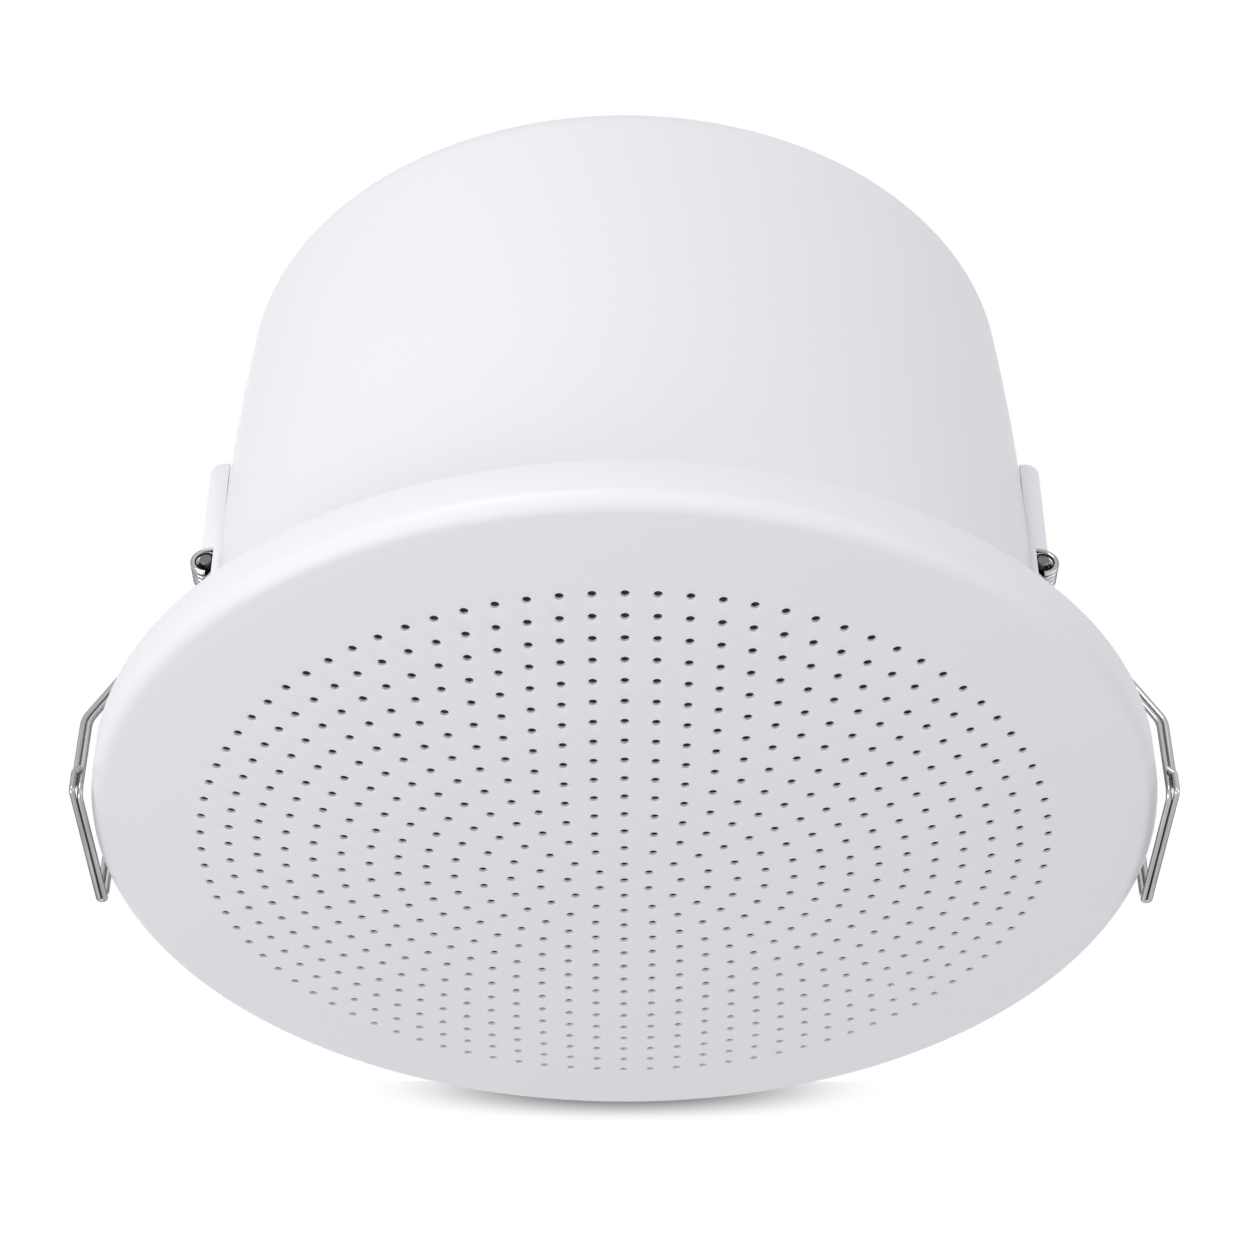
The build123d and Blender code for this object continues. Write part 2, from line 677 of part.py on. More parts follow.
# The leg's straight run leaves the coil on the can's side
leg_y = coil_start + coil_pitch * coil_turns + wire + 2 * slip_gap
reach = hypot(leg_bend[0] - pivot_x, leg_bend[1] - pivot_z)
leave_angle = atan2(leg_bend[1] - pivot_z, leg_bend[0] - pivot_x) - acos(coil_radius / reach)
leave = (pivot_x + coil_radius * cos(leave_angle), pivot_z + coil_radius * sin(leave_angle))
with BuildPart() as legs:
    leg_plane = Plane.XZ.offset(-leg_y)
    with BuildLine(leg_plane):
        CenterArc((pivot_x, pivot_z), coil_radius, degrees(leave_angle) - end_turn, end_turn)
        leg_run = FilletPolyline(leave, leg_bend, leg_tip, radius=leg_bend_radius)
    with BuildSketch(Plane(origin=leg_run @ 1, z_dir=leg_run % 1)):
        Circle(wire / 2)
    sweep()
    chamfer(legs.edges().group_by(Axis.Z)[0], leg_chamfer)
    mirror(about=Plane.XZ)

# The bail's strands lie side by side inside the legs and cross over below them
run = (Vector(*leg_bend) - Vector(*leave)).normalized()
drop = (Vector(*leg_tip) - Vector(*leg_bend)).normalized()
inward = [Vector(run.Y, -run.X), Vector(drop.Y, -drop.X)]
inset = (inward[0] + inward[1]) * ((wire + slip_gap) / (1 + inward[0].dot(inward[1])))
bail_bends = [leg_bend_radius, bail_corner, bail_corner, leg_bend_radius]
with BuildPart() as bail:
    for strand in range(bail_strands):
        bend = Vector(*leg_bend) + inset * (strand + 1)
        start = bend - run * bail_overlap
        bar = bend + drop * ((bail_low - bend.Y) / drop.Y)
        route = [(spot.X, leg_y, spot.Y) for spot in (start, bend, bar)]
        route += [(spot.X, -leg_y, spot.Y) for spot in (bar, bend, start)]
        with BuildLine():
            bail_run = FilletPolyline(*route, radius=bail_bends)
        with BuildSketch(Plane(origin=bail_run @ 0, z_dir=bail_run % 0)):
            Circle(wire / 2)
        sweep()

clip_pieces = {
    "clip_bracket": bracket,
    "clip_pin": pin,
    "clip_rivets": rivets,
    "clip_coils": coils,
    "clip_legs": legs,
    "clip_bail": bail,
}
for name, piece in clip_pieces.items():
    with BuildPart() as twin:
        add(piece.part.mirror(Plane.YZ))
    save(piece.part, f"right_{name}")
    save(twin.part, f"left_{name}")
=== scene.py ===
"""In-ceiling speaker: smooth shells, wires, fasteners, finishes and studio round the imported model.

Lengths are in metres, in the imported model's frame: the origin is the centre of the ceiling plane,
+Z points up into the ceiling void, the grille faces -Z and the clips stand at -X and +X.
"""
from __future__ import annotations

import logging
from dataclasses import dataclass, field
from enum import Enum
from functools import cache
from math import acos, asin, atan2, cos, degrees, hypot, pi, radians, sin, sqrt, tan, tau

import bmesh
import bpy
from bmesh.types import BMEdge, BMesh
from bpy.types import ID, Material, Mesh, Node, NodeSocket, NodeTree, Object, World
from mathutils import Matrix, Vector

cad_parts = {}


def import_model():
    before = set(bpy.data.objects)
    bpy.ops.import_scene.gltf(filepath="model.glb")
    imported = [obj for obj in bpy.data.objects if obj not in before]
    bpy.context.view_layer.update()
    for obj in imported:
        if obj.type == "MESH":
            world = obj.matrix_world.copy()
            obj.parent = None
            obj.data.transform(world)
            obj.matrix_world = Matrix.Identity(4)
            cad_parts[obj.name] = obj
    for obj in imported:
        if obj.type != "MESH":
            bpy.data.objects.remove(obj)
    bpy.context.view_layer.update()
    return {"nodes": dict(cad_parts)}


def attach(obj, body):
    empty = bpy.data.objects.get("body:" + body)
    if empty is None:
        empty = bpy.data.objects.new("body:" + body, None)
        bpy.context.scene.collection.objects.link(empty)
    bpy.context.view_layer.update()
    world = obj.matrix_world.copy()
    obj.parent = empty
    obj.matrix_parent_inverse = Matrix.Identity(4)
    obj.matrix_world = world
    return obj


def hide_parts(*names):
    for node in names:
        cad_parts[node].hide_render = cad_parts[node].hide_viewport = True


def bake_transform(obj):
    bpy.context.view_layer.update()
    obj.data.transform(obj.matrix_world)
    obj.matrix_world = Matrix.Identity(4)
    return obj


MM = 0.001
Colour = tuple[float, float, float]
Point = tuple[float, float, float]
Pair = tuple[float, float]
Profile = list[Pair]
Run = list[tuple[Point, float]]
log = logging.getLogger("ceiling_speaker")

WHITE = (1.0, 1.0, 1.0, 1.0)
BLACK = (0.0, 0.0, 0.0, 1.0)
UNIT = (0.0, 1.0)

# Coils, legs and cuts come in pairs: these are the signs of their Y or of their turn.
HANDS = (1, -1)

# Radii below ON_AXIS lie on the axis, points closer than WELD are one, and points closer than
# ON_PLANE to a cutting plane lie on it.
ON_AXIS = 1e-9
WELD = 1e-6
ON_PLANE = 1e-7

# Edges that turn by more than these angles, in degrees, stay sharp.
ALL_SMOOTH = 180.0
NODE_CREASE = 36.0
CROWN_CREASE = 32.0
CAN_CREASE = 11.0
WIRE_CREASE = 50.0
FASTENER_CREASE = 35.0

# Noise: octaves of the fine and the broad one, the fine one's share, and the span of most values.
FINE_DETAIL = 3.0
BROAD_DETAIL = 2.0
FINE_SHARE = 0.4
NOISE_SPAN = (0.3, 0.7)

# The hole pattern: ring n has n times RING_HOLES holes and starts nearest the viewer. ROOT_NUDGE
# keeps an exact root from being rounded down to the ring before.
RING_HOLES = 6.0
FIRST_HOLE = -pi / 2.0
ROOT_NUDGE = 0.0001

WIRE_SIDES = 18
BEND_STEPS = 12

# Sheets of metal that a piercing tool reaches through.
PIERCE = 3.0


class Side(Enum):
    """The two clips, by the sign of their X."""

    LEFT = -1
    RIGHT = 1

    @property
    def word(self) -> str:
        """The side's name as the nodes use it."""
        return self.name.lower()


class NodeSheet:
    """Adds and links the nodes of one tree, so that a tree reads as a list of steps."""

    def __init__(self, tree: NodeTree) -> None:
        """Keep the tree that the steps are added to."""
        self.tree = tree

    def fill(self, node: Node, inputs: dict) -> None:
        """Set a node's inputs, by name or number, to plain values or to other nodes' outputs."""
        for key, value in inputs.items():
            if isinstance(value, NodeSocket):
                self.tree.links.new(value, node.inputs[key])
            else:
                node.inputs[key].default_value = value

    def add(self, kind: str, inputs: dict | None = None, **settings: object) -> Node:
        """Add one node with its own properties, and inputs by name or number."""
        node = self.tree.nodes.new(kind)
        for key, value in settings.items():
            setattr(node, key, value)
        self.fill(node, inputs or {})
        return node

    def take(self, kind: str, output: str | int, inputs: dict | None = None, **settings: object) -> NodeSocket:
        """Add one node as add does, and return one of its outputs."""
        return self.add(kind, inputs, **settings).outputs[output]

    def math(self, operation: str, *values: object) -> NodeSocket:
        """Add a Math node on numbers or sockets, in order."""
        return self.take("ShaderNodeMath", 0, dict(enumerate(values)), operation=operation)

    def mix(self, factor: object, first: object, second: object, data_type: str = "RGBA") -> NodeSocket:
        """Add a Mix node that runs from the first value to the second."""
        inputs = {"Factor": factor, "A": first, "B": second}
        return self.take("ShaderNodeMix", "Result", inputs, data_type=data_type)

    def remap(self, value: object, source: tuple = UNIT, target: tuple = UNIT, **settings: object) -> NodeSocket:
        """Add a Map Range node from one span to another."""
        inputs = {"Value": value, "From Min": source[0], "From Max": source[1]}
        inputs |= {"To Min": target[0], "To Max": target[1]}
        return self.take("ShaderNodeMapRange", "Result", inputs, **settings)

    def noise(self, place: object, scale: object, detail: float, roughness: float = 0.5) -> NodeSocket:
        """Add a Noise Texture node."""
        inputs = {"Vector": place, "Scale": scale, "Detail": detail, "Roughness": roughness}
        return self.take("ShaderNodeTexNoise", "Fac", inputs)

    def bump(self, height: object, strength: float, distance: float) -> NodeSocket:
        """Add a Bump node."""
        inputs = {"Height": height, "Strength": strength, "Distance": distance}
        return self.take("ShaderNodeBump", "Normal", inputs)

    def attribute(self, name: str) -> NodeSocket:
        """Add a shader's Attribute node for a number."""
        return self.take("ShaderNodeAttribute", "Fac", attribute_name=name)

    def declare(self, inputs: dict[str, str], outputs: dict[str, str]) -> tuple[dict, Node]:
        """Give the tree inputs and outputs by name and kind, and return its inputs and its output node."""
        for way, sockets in (("INPUT", inputs), ("OUTPUT", outputs)):
            for name, kind in sockets.items():
                self.tree.interface.new_socket(name=name, in_out=way, socket_type=f"NodeSocket{kind}")
        source = self.tree.nodes.new("NodeGroupInput")
        return {name: source.outputs[name] for name in inputs}, self.tree.nodes.new("NodeGroupOutput")


def blank_sheet(owner: Material | World) -> NodeSheet:
    """Give a material or a world an empty node tree."""
    owner.use_nodes = True
    owner.node_tree.nodes.clear()
    return NodeSheet(owner.node_tree)


@cache
def mottled_surface_group() -> NodeTree:
    """Build the shader group for a surface whose tone, gloss and height wander a little."""
    sheet = NodeSheet(bpy.data.node_groups.new("mottled_surface", "ShaderNodeTree"))
    numbers = dict.fromkeys(("Fine Scale", "Broad Scale", "Smooth", "Rough"), "Float")
    given, sink = sheet.declare(
        {"Light": "Color", "Dark": "Color", **numbers},
        {"Color": "Color", "Roughness": "Float", "Height": "Float"},
    )
    place = sheet.take("ShaderNodeTexCoord", "Object")
    fine = sheet.noise(place, given["Fine Scale"], FINE_DETAIL)
    broad = sheet.noise(place, given["Broad Scale"], BROAD_DETAIL)
    rest = sheet.math("MULTIPLY", broad, 1.0 - FINE_SHARE)
    drift = sheet.math("ADD", sheet.math("MULTIPLY", fine, FINE_SHARE), rest)
    found = {
        "Color": sheet.mix(drift, given["Light"], given["Dark"]),
        "Roughness": sheet.remap(drift, NOISE_SPAN, (given["Smooth"], given["Rough"])),
        "Height": fine,
    }
    sheet.fill(sink, found)
    return sheet.tree


@cache
def woven_cloth_group() -> NodeTree:
    """Build the shader group for a plain weave along X and Y."""
    sheet = NodeSheet(bpy.data.node_groups.new("woven_cloth", "ShaderNodeTree"))
    given, sink = sheet.declare(
        {"Thread": "Color", "Gap": "Color", "Threads per Metre": "Float"}, {"Color": "Color", "Height": "Float"}
    )
    place = sheet.take("ShaderNodeTexCoord", "Object")
    axes = sheet.add("ShaderNodeSeparateXYZ", {"Vector": place}).outputs
    per_metre = sheet.math("MULTIPLY", given["Threads per Metre"], tau)
    waves = [sheet.math("SINE", sheet.math("MULTIPLY", axes[axis], per_metre)) for axis in ("X", "Y")]
    height = sheet.math("MULTIPLY_ADD", sheet.math("MAXIMUM", *waves), 0.5, 0.5)
    sheet.fill(sink, {"Color": sheet.mix(height, given["Gap"], given["Thread"]), "Height": height})
    return sheet.tree


@dataclass(frozen=True)
class Finish:
    """A finish, whose material is built at its first use. Its slot in the record may have another name."""

    name: str
    slot_name: str = field(default="", kw_only=True)

    @property
    def slot(self) -> str:
        """The finish's slot in the record."""
        return self.slot_name or self.name

    def paint(self, sheet: NodeSheet, shader: Node) -> None:
        """Feed the Principled shader of the finish's material."""
        raise NotImplementedError

    def material(self) -> Material:
        """Build the finish's material, or return the one that is there."""
        found = bpy.data.materials.get(self.name)
        if found:
            return found
        material = bpy.data.materials.new(self.name)
        sheet = blank_sheet(material)
        shader = sheet.add("ShaderNodeBsdfPrincipled")
        sheet.add("ShaderNodeOutputMaterial", {"Surface": shader.outputs["BSDF"]})
        self.paint(sheet, shader)
        return material


@dataclass(frozen=True)
class MottledFinish(Finish):
    """A solid finish: paint, plastic, rubber, paper, ceramic or metal with a fine grain."""

    light: Colour
    dark: Colour
    smooth: float
    rough: float
    metallic: float = 0.0
    fine_scale: float = 900.0
    broad_scale: float = 14.0
    grain: float = 0.15
    grain_depth: float = 0.02 * MM
    specular: float = 0.5

    def paint(self, sheet: NodeSheet, shader: Node) -> None:
        """Feed the shader from the group of mottled surfaces."""
        values = {
            "Light": (*self.light, 1.0),
            "Dark": (*self.dark, 1.0),
            "Fine Scale": self.fine_scale,
            "Broad Scale": self.broad_scale,
            "Smooth": self.smooth,
            "Rough": self.rough,
        }
        surface = sheet.add("ShaderNodeGroup", node_tree=mottled_surface_group())
        sheet.fill(surface, values)
        looks = {
            "Base Color": surface.outputs["Color"],
            "Roughness": surface.outputs["Roughness"],
            "Normal": sheet.bump(surface.outputs["Height"], self.grain, self.grain_depth),
            "Metallic": self.metallic,
            "Specular IOR Level": self.specular,
        }
        sheet.fill(shader, looks)


@dataclass(frozen=True)
class WovenFinish(Finish):
    """A plain-weave cloth."""

    thread: Colour
    gap: Colour
    threads_per_metre: float
    rough: float = 0.9
    relief: float = 0.5
    depth: float = 0.1 * MM

    def paint(self, sheet: NodeSheet, shader: Node) -> None:
        """Feed the shader from the group of woven cloths."""
        values = {
            "Thread": (*self.thread, 1.0),
            "Gap": (*self.gap, 1.0),
            "Threads per Metre": self.threads_per_metre,
        }
        weave = sheet.add("ShaderNodeGroup", node_tree=woven_cloth_group())
        sheet.fill(weave, values)
        normal = sheet.bump(weave.outputs["Height"], self.relief, self.depth)
        sheet.fill(shader, {"Base Color": weave.outputs["Color"], "Normal": normal, "Roughness": self.rough})


@dataclass(frozen=True)
class DrawnWireFinish(Finish):
    """Bright spring wire, with draw marks that run along it and painted shade along its outlines."""

    light: Colour
    dark: Colour
    smooth: float
    rough: float
    # Painted shade: a near-black tint of the grazing reflection, so the wire's outlines come out dark.
    edge: Colour = (0.08, 0.08, 0.085)
    marks_per_metre: float = 40.0
    marks_around: float = 1.6
    mark_roughness: float = 0.6
    relief: float = 0.3
    mark_depth: float = 0.002 * MM

    def paint(self, sheet: NodeSheet, shader: Node) -> None:
        """Feed the shader from streaks that follow the wire's attributes along and around."""
        turn = sheet.math("MULTIPLY", sheet.attribute("around"), tau)
        spot = {
            "X": sheet.math("MULTIPLY", sheet.attribute("along"), self.marks_per_metre),
            "Y": sheet.math("MULTIPLY", sheet.math("COSINE", turn), self.marks_around),
            "Z": sheet.math("MULTIPLY", sheet.math("SINE", turn), self.marks_around),
        }
        place = sheet.take("ShaderNodeCombineXYZ", "Vector", spot)
        marks = sheet.noise(place, 1.0, FINE_DETAIL, self.mark_roughness)
        streaks = sheet.remap(marks, NOISE_SPAN)
        looks = {
            "Base Color": sheet.mix(streaks, (*self.light, 1.0), (*self.dark, 1.0)),
            "Roughness": sheet.remap(streaks, target=(self.smooth, self.rough)),
            "Normal": sheet.bump(marks, self.relief, self.mark_depth),
            "Metallic": 1.0,
            # Painted shade at the wire's outlines, through the dark edge tint.
            "Specular Tint": (*self.edge, 1.0),
        }
        sheet.fill(shader, looks)


WHITE_COAT = MottledFinish(
    "white_powder_coat", (0.84, 0.848, 0.888), (0.82, 0.828, 0.868), 0.36, 0.46, fine_scale=1400.0, grain=0.12,
    specular=0.3, slot_name="white_paint",
)
SPRING_WIRE = DrawnWireFinish(
    "spring_wire", (0.62, 0.62, 0.62), (0.3, 0.3, 0.305), 0.08, 0.16, slot_name="bright_steel"
)
ZINC = MottledFinish(
    "zinc_plate", (0.7, 0.71, 0.73), (0.58, 0.59, 0.6), 0.26, 0.42, metallic=1.0, fine_scale=700.0,
    broad_scale=60.0, slot_name="zinc_steel",
)
PIN_STEEL = MottledFinish(
    "pin_steel", (0.2, 0.2, 0.205), (0.12, 0.12, 0.125), 0.22, 0.4, metallic=1.0, slot_name="bright_steel"
)
# Painted shade: a near-black finish for the faces inside the clip brackets' channels, where the slit falls in shade.
CHANNEL_SHADE = MottledFinish("bare_steel", (0.1, 0.1, 0.105), (0.05, 0.05, 0.055), 0.45, 0.65, metallic=0.5)
BLACK_PAINT = MottledFinish("black_paint", (0.035, 0.035, 0.037), (0.022, 0.022, 0.024), 0.4, 0.55)
BLACK_FOAM = MottledFinish("black_foam", (0.04, 0.04, 0.04), (0.02, 0.02, 0.02), 0.85, 0.97, grain=0.6)
BLACK_RUBBER = MottledFinish("black_rubber", (0.035, 0.035, 0.037), (0.024, 0.024, 0.025), 0.55, 0.75, grain=0.25)
PAPER = MottledFinish(
    "paper_pulp", (0.11, 0.105, 0.098), (0.06, 0.058, 0.055), 0.8, 0.95, fine_scale=420.0, grain=0.5,
    slot_name="paper",
)
COPPER = MottledFinish(
    "enamelled_copper", (0.7, 0.34, 0.17), (0.5, 0.2, 0.09), 0.25, 0.4, metallic=1.0, slot_name="copper"
)
FERRITE = MottledFinish("ferrite", (0.1, 0.1, 0.105), (0.06, 0.06, 0.065), 0.5, 0.7, grain=0.4)
FIBRE_BOARD = MottledFinish(
    "fibre_board", (0.36, 0.2, 0.09), (0.26, 0.14, 0.06), 0.45, 0.6, slot_name="brown_board"
)
TINNED_BRASS = MottledFinish("tinned_brass", (0.74, 0.66, 0.46), (0.62, 0.54, 0.36), 0.25, 0.4, metallic=1.0)
LAMINATION = MottledFinish("lamination", (0.24, 0.24, 0.25), (0.16, 0.16, 0.17), 0.4, 0.6, metallic=0.6)
YELLOW_TAPE = MottledFinish("yellow_tape", (0.82, 0.64, 0.14), (0.72, 0.54, 0.1), 0.3, 0.45)
CERAMIC = MottledFinish("ceramic", (0.88, 0.86, 0.8), (0.82, 0.8, 0.74), 0.5, 0.65)
ACOUSTIC_CLOTH = WovenFinish(
    "acoustic_cloth", (0.022, 0.022, 0.023), (0.006, 0.006, 0.006), 1500.0, slot_name="black_cloth"
)
SPIDER_CLOTH = WovenFinish("spider_cloth", (0.58, 0.38, 0.15), (0.3, 0.17, 0.06), 900.0, slot_name="amber_cloth")


def new_object(name: str, data: ID) -> Object:
    """Put a mesh, a camera or a lamp into the scene as an object at the origin."""
    made = bpy.data.objects.new(name, data)
    bpy.context.scene.collection.objects.link(made)
    return made


def dressed(name: str, mesh: Mesh, material: Material) -> Object:
    """Put a mesh into the scene with one material."""
    mesh.materials.clear()
    mesh.materials.append(material)
    return new_object(name, mesh)


def mesh_from(bm: BMesh, name: str, sharp_degrees: float = ALL_SMOOTH) -> Mesh:
    """Turn a working mesh into a plain one with smooth faces and sharp creases.

    Args:
        bm: The working mesh, which is freed.
        name: The new mesh's name.
        sharp_degrees: Edges that turn by more than this stay sharp.

    Returns:
        The mesh.
    """
    limit = radians(sharp_degrees)
    for face in bm.faces:
        face.smooth = True
    for edge in bm.edges:
        edge.smooth = len(edge.link_faces) == 2 and edge.calc_face_angle(0.0) < limit
    mesh = bpy.data.meshes.new(name)
    bm.to_mesh(mesh)
    bm.free()
    return mesh


def merged(mesh: Mesh, distance: float) -> BMesh:
    """Return a working copy of a mesh, with points closer than a distance merged."""
    bm = bmesh.new()
    bm.from_mesh(mesh)
    bmesh.ops.remove_doubles(bm, verts=bm.verts, dist=distance)
    return bm


def cut_off(bm: BMesh, point: Point, away: Point) -> None:
    """Cut off what lies beyond a plane, on the side of its normal, and close the cut."""
    whole = [*bm.verts, *bm.edges, *bm.faces]
    cut = bmesh.ops.bisect_plane(bm, geom=whole, dist=ON_PLANE, plane_co=point, plane_no=away, clear_outer=True)
    rim = [part for part in cut["geom_cut"] if isinstance(part, BMEdge)]
    bmesh.ops.holes_fill(bm, edges=rim)
    bmesh.ops.recalc_face_normals(bm, faces=bm.faces)


def lathe(profile: Profile, segments: int) -> BMesh:
    """Turn a closed profile about the Z axis.

    Args:
        profile: Points (radius, height) round the section.
        segments: Steps of a full turn.

    Returns:
        A closed working mesh whose faces point outwards.
    """
    bm = bmesh.new()
    turns = [tau * step / segments for step in range(segments)]
    rings = []
    for radius, height in profile:
        if radius < ON_AXIS:
            rings.append([bm.verts.new((0.0, 0.0, height))])
        else:
            rings.append([bm.verts.new((radius * cos(t), radius * sin(t), height)) for t in turns])
    for first, second in zip(rings, rings[1:] + rings[:1]):
        if len(first) == 1 and len(second) == 1:
            continue
        for step in range(segments):
            following = (step + 1) % segments
            corners = [first[step % len(first)], first[following % len(first)]]
            corners += [second[following % len(second)], second[step % len(second)]]
            bm.faces.new(list(dict.fromkeys(corners)))
    bmesh.ops.recalc_face_normals(bm, faces=bm.faces)
    return bm


def arc(centre: Pair, radius: float, start: float, end: float, steps: int) -> Profile:
    """Return points along an arc, both ends included, with its angles in degrees."""
    points = []
    for step in range(steps + 1):
        angle = radians(start + (end - start) * step / steps)
        points.append((centre[0] + radius * cos(angle), centre[1] + radius * sin(angle)))
    return points


def dome(radius: float, base: float, rise: float, stop: float = 75.0, steps: int = 5) -> Profile:
    """Return a domed head's outline, from its rim at the base to an angle short of its top."""
    return [(radius * x, base + rise * y) for x, y in arc((0.0, 0.0), 1.0, 0.0, stop, steps)]


def evaluated_mesh(carrier: Object) -> Mesh:
    """Return an object's mesh with its modifiers run, and remove them and the object."""
    depsgraph = bpy.context.evaluated_depsgraph_get()
    mesh = bpy.data.meshes.new_from_object(carrier.evaluated_get(depsgraph), depsgraph=depsgraph)
    carrier.modifiers.clear()
    bpy.data.objects.remove(carrier)
    return mesh


def combined(target: Mesh, tool: Mesh, operation: str) -> Mesh:
    """Join two closed meshes by UNION, or cut one from the other by DIFFERENCE."""
    body = new_object("combine_body", target)
    cutter = new_object("combine_tool", tool)
    modifier = body.modifiers.new("combine", "BOOLEAN")
    modifier.operation = operation
    modifier.solver = "MANIFOLD"
    modifier.object = cutter
    mesh = evaluated_mesh(body)
    bpy.data.objects.remove(cutter)
    return mesh


def run_tree(tree: NodeTree, mesh: Mesh, values: dict[str, object], name: str) -> Object:
    """Run a geometry tree on a mesh and keep the result as a plain object.

    Args:
        tree: The geometry node tree.
        mesh: The mesh it starts from.
        values: Its inputs, by name.
        name: The new object's name.

    Returns:
        The new object, at the origin and with no modifier.
    """
    carrier = new_object(f"{name}_start", mesh)
    modifier = carrier.modifiers.new("tree", "NODES")
    modifier.node_group = tree
    for item in tree.interface.items_tree:
        if item.item_type == "SOCKET" and item.in_out == "INPUT" and item.name in values:
            modifier[item.identifier] = values[item.name]
    made = evaluated_mesh(carrier)
    made.name = name
    return new_object(name, made)


def open_tree(name: str, inputs: dict[str, str]) -> tuple[NodeSheet, dict, Node]:
    """Begin a geometry tree that takes a geometry, values of the kinds given and a material."""
    sheet = NodeSheet(bpy.data.node_groups.new(name, "GeometryNodeTree"))
    mesh = {"Geometry": "Geometry"}
    return sheet, *sheet.declare({**mesh, **inputs, "Material": "Material"}, mesh)


def close_tree(sheet: NodeSheet, sink: Node, geometry: object, material: object, sharp_degrees: float) -> None:
    """End a geometry tree: smooth faces, sharp creases, real geometry and a material.

    Args:
        sheet: The tree's sheet of nodes.
        sink: Its output node.
        geometry: The geometry's socket.
        material: The material's socket.
        sharp_degrees: Edges that turn by more than this stay sharp.
    """
    angle = sheet.take("GeometryNodeInputMeshEdgeAngle", "Unsigned Angle")
    limit = {"A": angle, "B": radians(sharp_degrees)}
    sharp = sheet.take("FunctionNodeCompare", "Result", limit, data_type="FLOAT", operation="GREATER_THAN")
    shade = "GeometryNodeSetShadeSmooth"
    smooth = sheet.take(shade, "Geometry", {"Geometry": geometry, "Shade Smooth": True}, domain="FACE")
    creases = {"Geometry": smooth, "Selection": sharp, "Shade Smooth": False}
    creased = sheet.take(shade, "Geometry", creases, domain="EDGE")
    real = sheet.take("GeometryNodeRealizeInstances", "Geometry", {"Geometry": creased})
    inputs = {"Geometry": real, "Material": material}
    sheet.fill(sink, {"Geometry": sheet.take("GeometryNodeSetMaterial", "Geometry", inputs)})


@cache
def perforation_tree() -> NodeTree:
    """Build the tree that punches rings of holes through a spherical crown.

    Returns:
        The tree. It counts from a hole's index back to its ring, and every punch stands square to
        the crown.
    """
    values = {"Rings": "Int", "Pitch": "Float", "Crown Radius": "Float", "Crown Centre": "Float", "Punch": "Object"}
    sheet, given, sink = open_tree("perforated_crown", values)
    radius, half = given["Crown Radius"], RING_HOLES / 2.0
    pairs = sheet.math("MULTIPLY", given["Rings"], sheet.math("ADD", given["Rings"], 1.0))
    count = sheet.math("MULTIPLY_ADD", pairs, half, 1.0)
    index = sheet.take("GeometryNodeInputIndex", "Index")
    square = sheet.math("MULTIPLY_ADD", index, 4.0 / half, 1.0 - 4.0 / half)
    root = sheet.math("SQRT", sheet.math("MAXIMUM", square, 0.0))
    ring = sheet.math("FLOOR", sheet.math("MULTIPLY_ADD", root, 0.5, 0.5 + ROOT_NUDGE))
    inner = sheet.math("MULTIPLY", ring, sheet.math("SUBTRACT", ring, 1.0))
    step = sheet.math("SUBTRACT", index, sheet.math("MULTIPLY_ADD", inner, half, 1.0))
    share = sheet.math("DIVIDE", step, sheet.math("MAXIMUM", ring, 1.0))
    around = sheet.math("MULTIPLY_ADD", share, tau / RING_HOLES, FIRST_HOLE)
    tilt = sheet.math("DIVIDE", sheet.math("MULTIPLY", ring, given["Pitch"]), radius)
    reach = sheet.math("MULTIPLY", sheet.math("SINE", tilt), radius)
    drop = sheet.math("MULTIPLY", sheet.math("COSINE", tilt), radius)
    spot = {
        "X": sheet.math("MULTIPLY", reach, sheet.math("COSINE", around)),
        "Y": sheet.math("MULTIPLY", reach, sheet.math("SINE", around)),
        "Z": sheet.math("SUBTRACT", given["Crown Centre"], drop),
    }
    place = sheet.take("ShaderNodeCombineXYZ", "Vector", spot)
    spots = sheet.take("GeometryNodePoints", "Points", {"Count": count, "Position": place})
    centre = sheet.take("ShaderNodeCombineXYZ", "Vector", {"Z": given["Crown Centre"]})
    here = sheet.take("GeometryNodeInputPosition", "Position")
    outward = sheet.take("ShaderNodeVectorMath", "Vector", {0: here, 1: centre}, operation="SUBTRACT")
    turn = sheet.take("FunctionNodeAlignRotationToVector", "Rotation", {"Vector": outward}, axis="Z")
    punch = sheet.take("GeometryNodeObjectInfo", "Geometry", {"Object": given["Punch"]}, transform_space="ORIGINAL")
    inputs = {"Points": spots, "Instance": punch, "Rotation": turn}
    punches = sheet.take("GeometryNodeInstanceOnPoints", "Instances", inputs)
    meshes = {"Mesh 1": given["Geometry"], "Mesh 2": punches}
    cut = sheet.take("GeometryNodeMeshBoolean", "Mesh", meshes, operation="DIFFERENCE", solver="MANIFOLD")
    close_tree(sheet, sink, cut, given["Material"], CROWN_CREASE)
    return sheet.tree


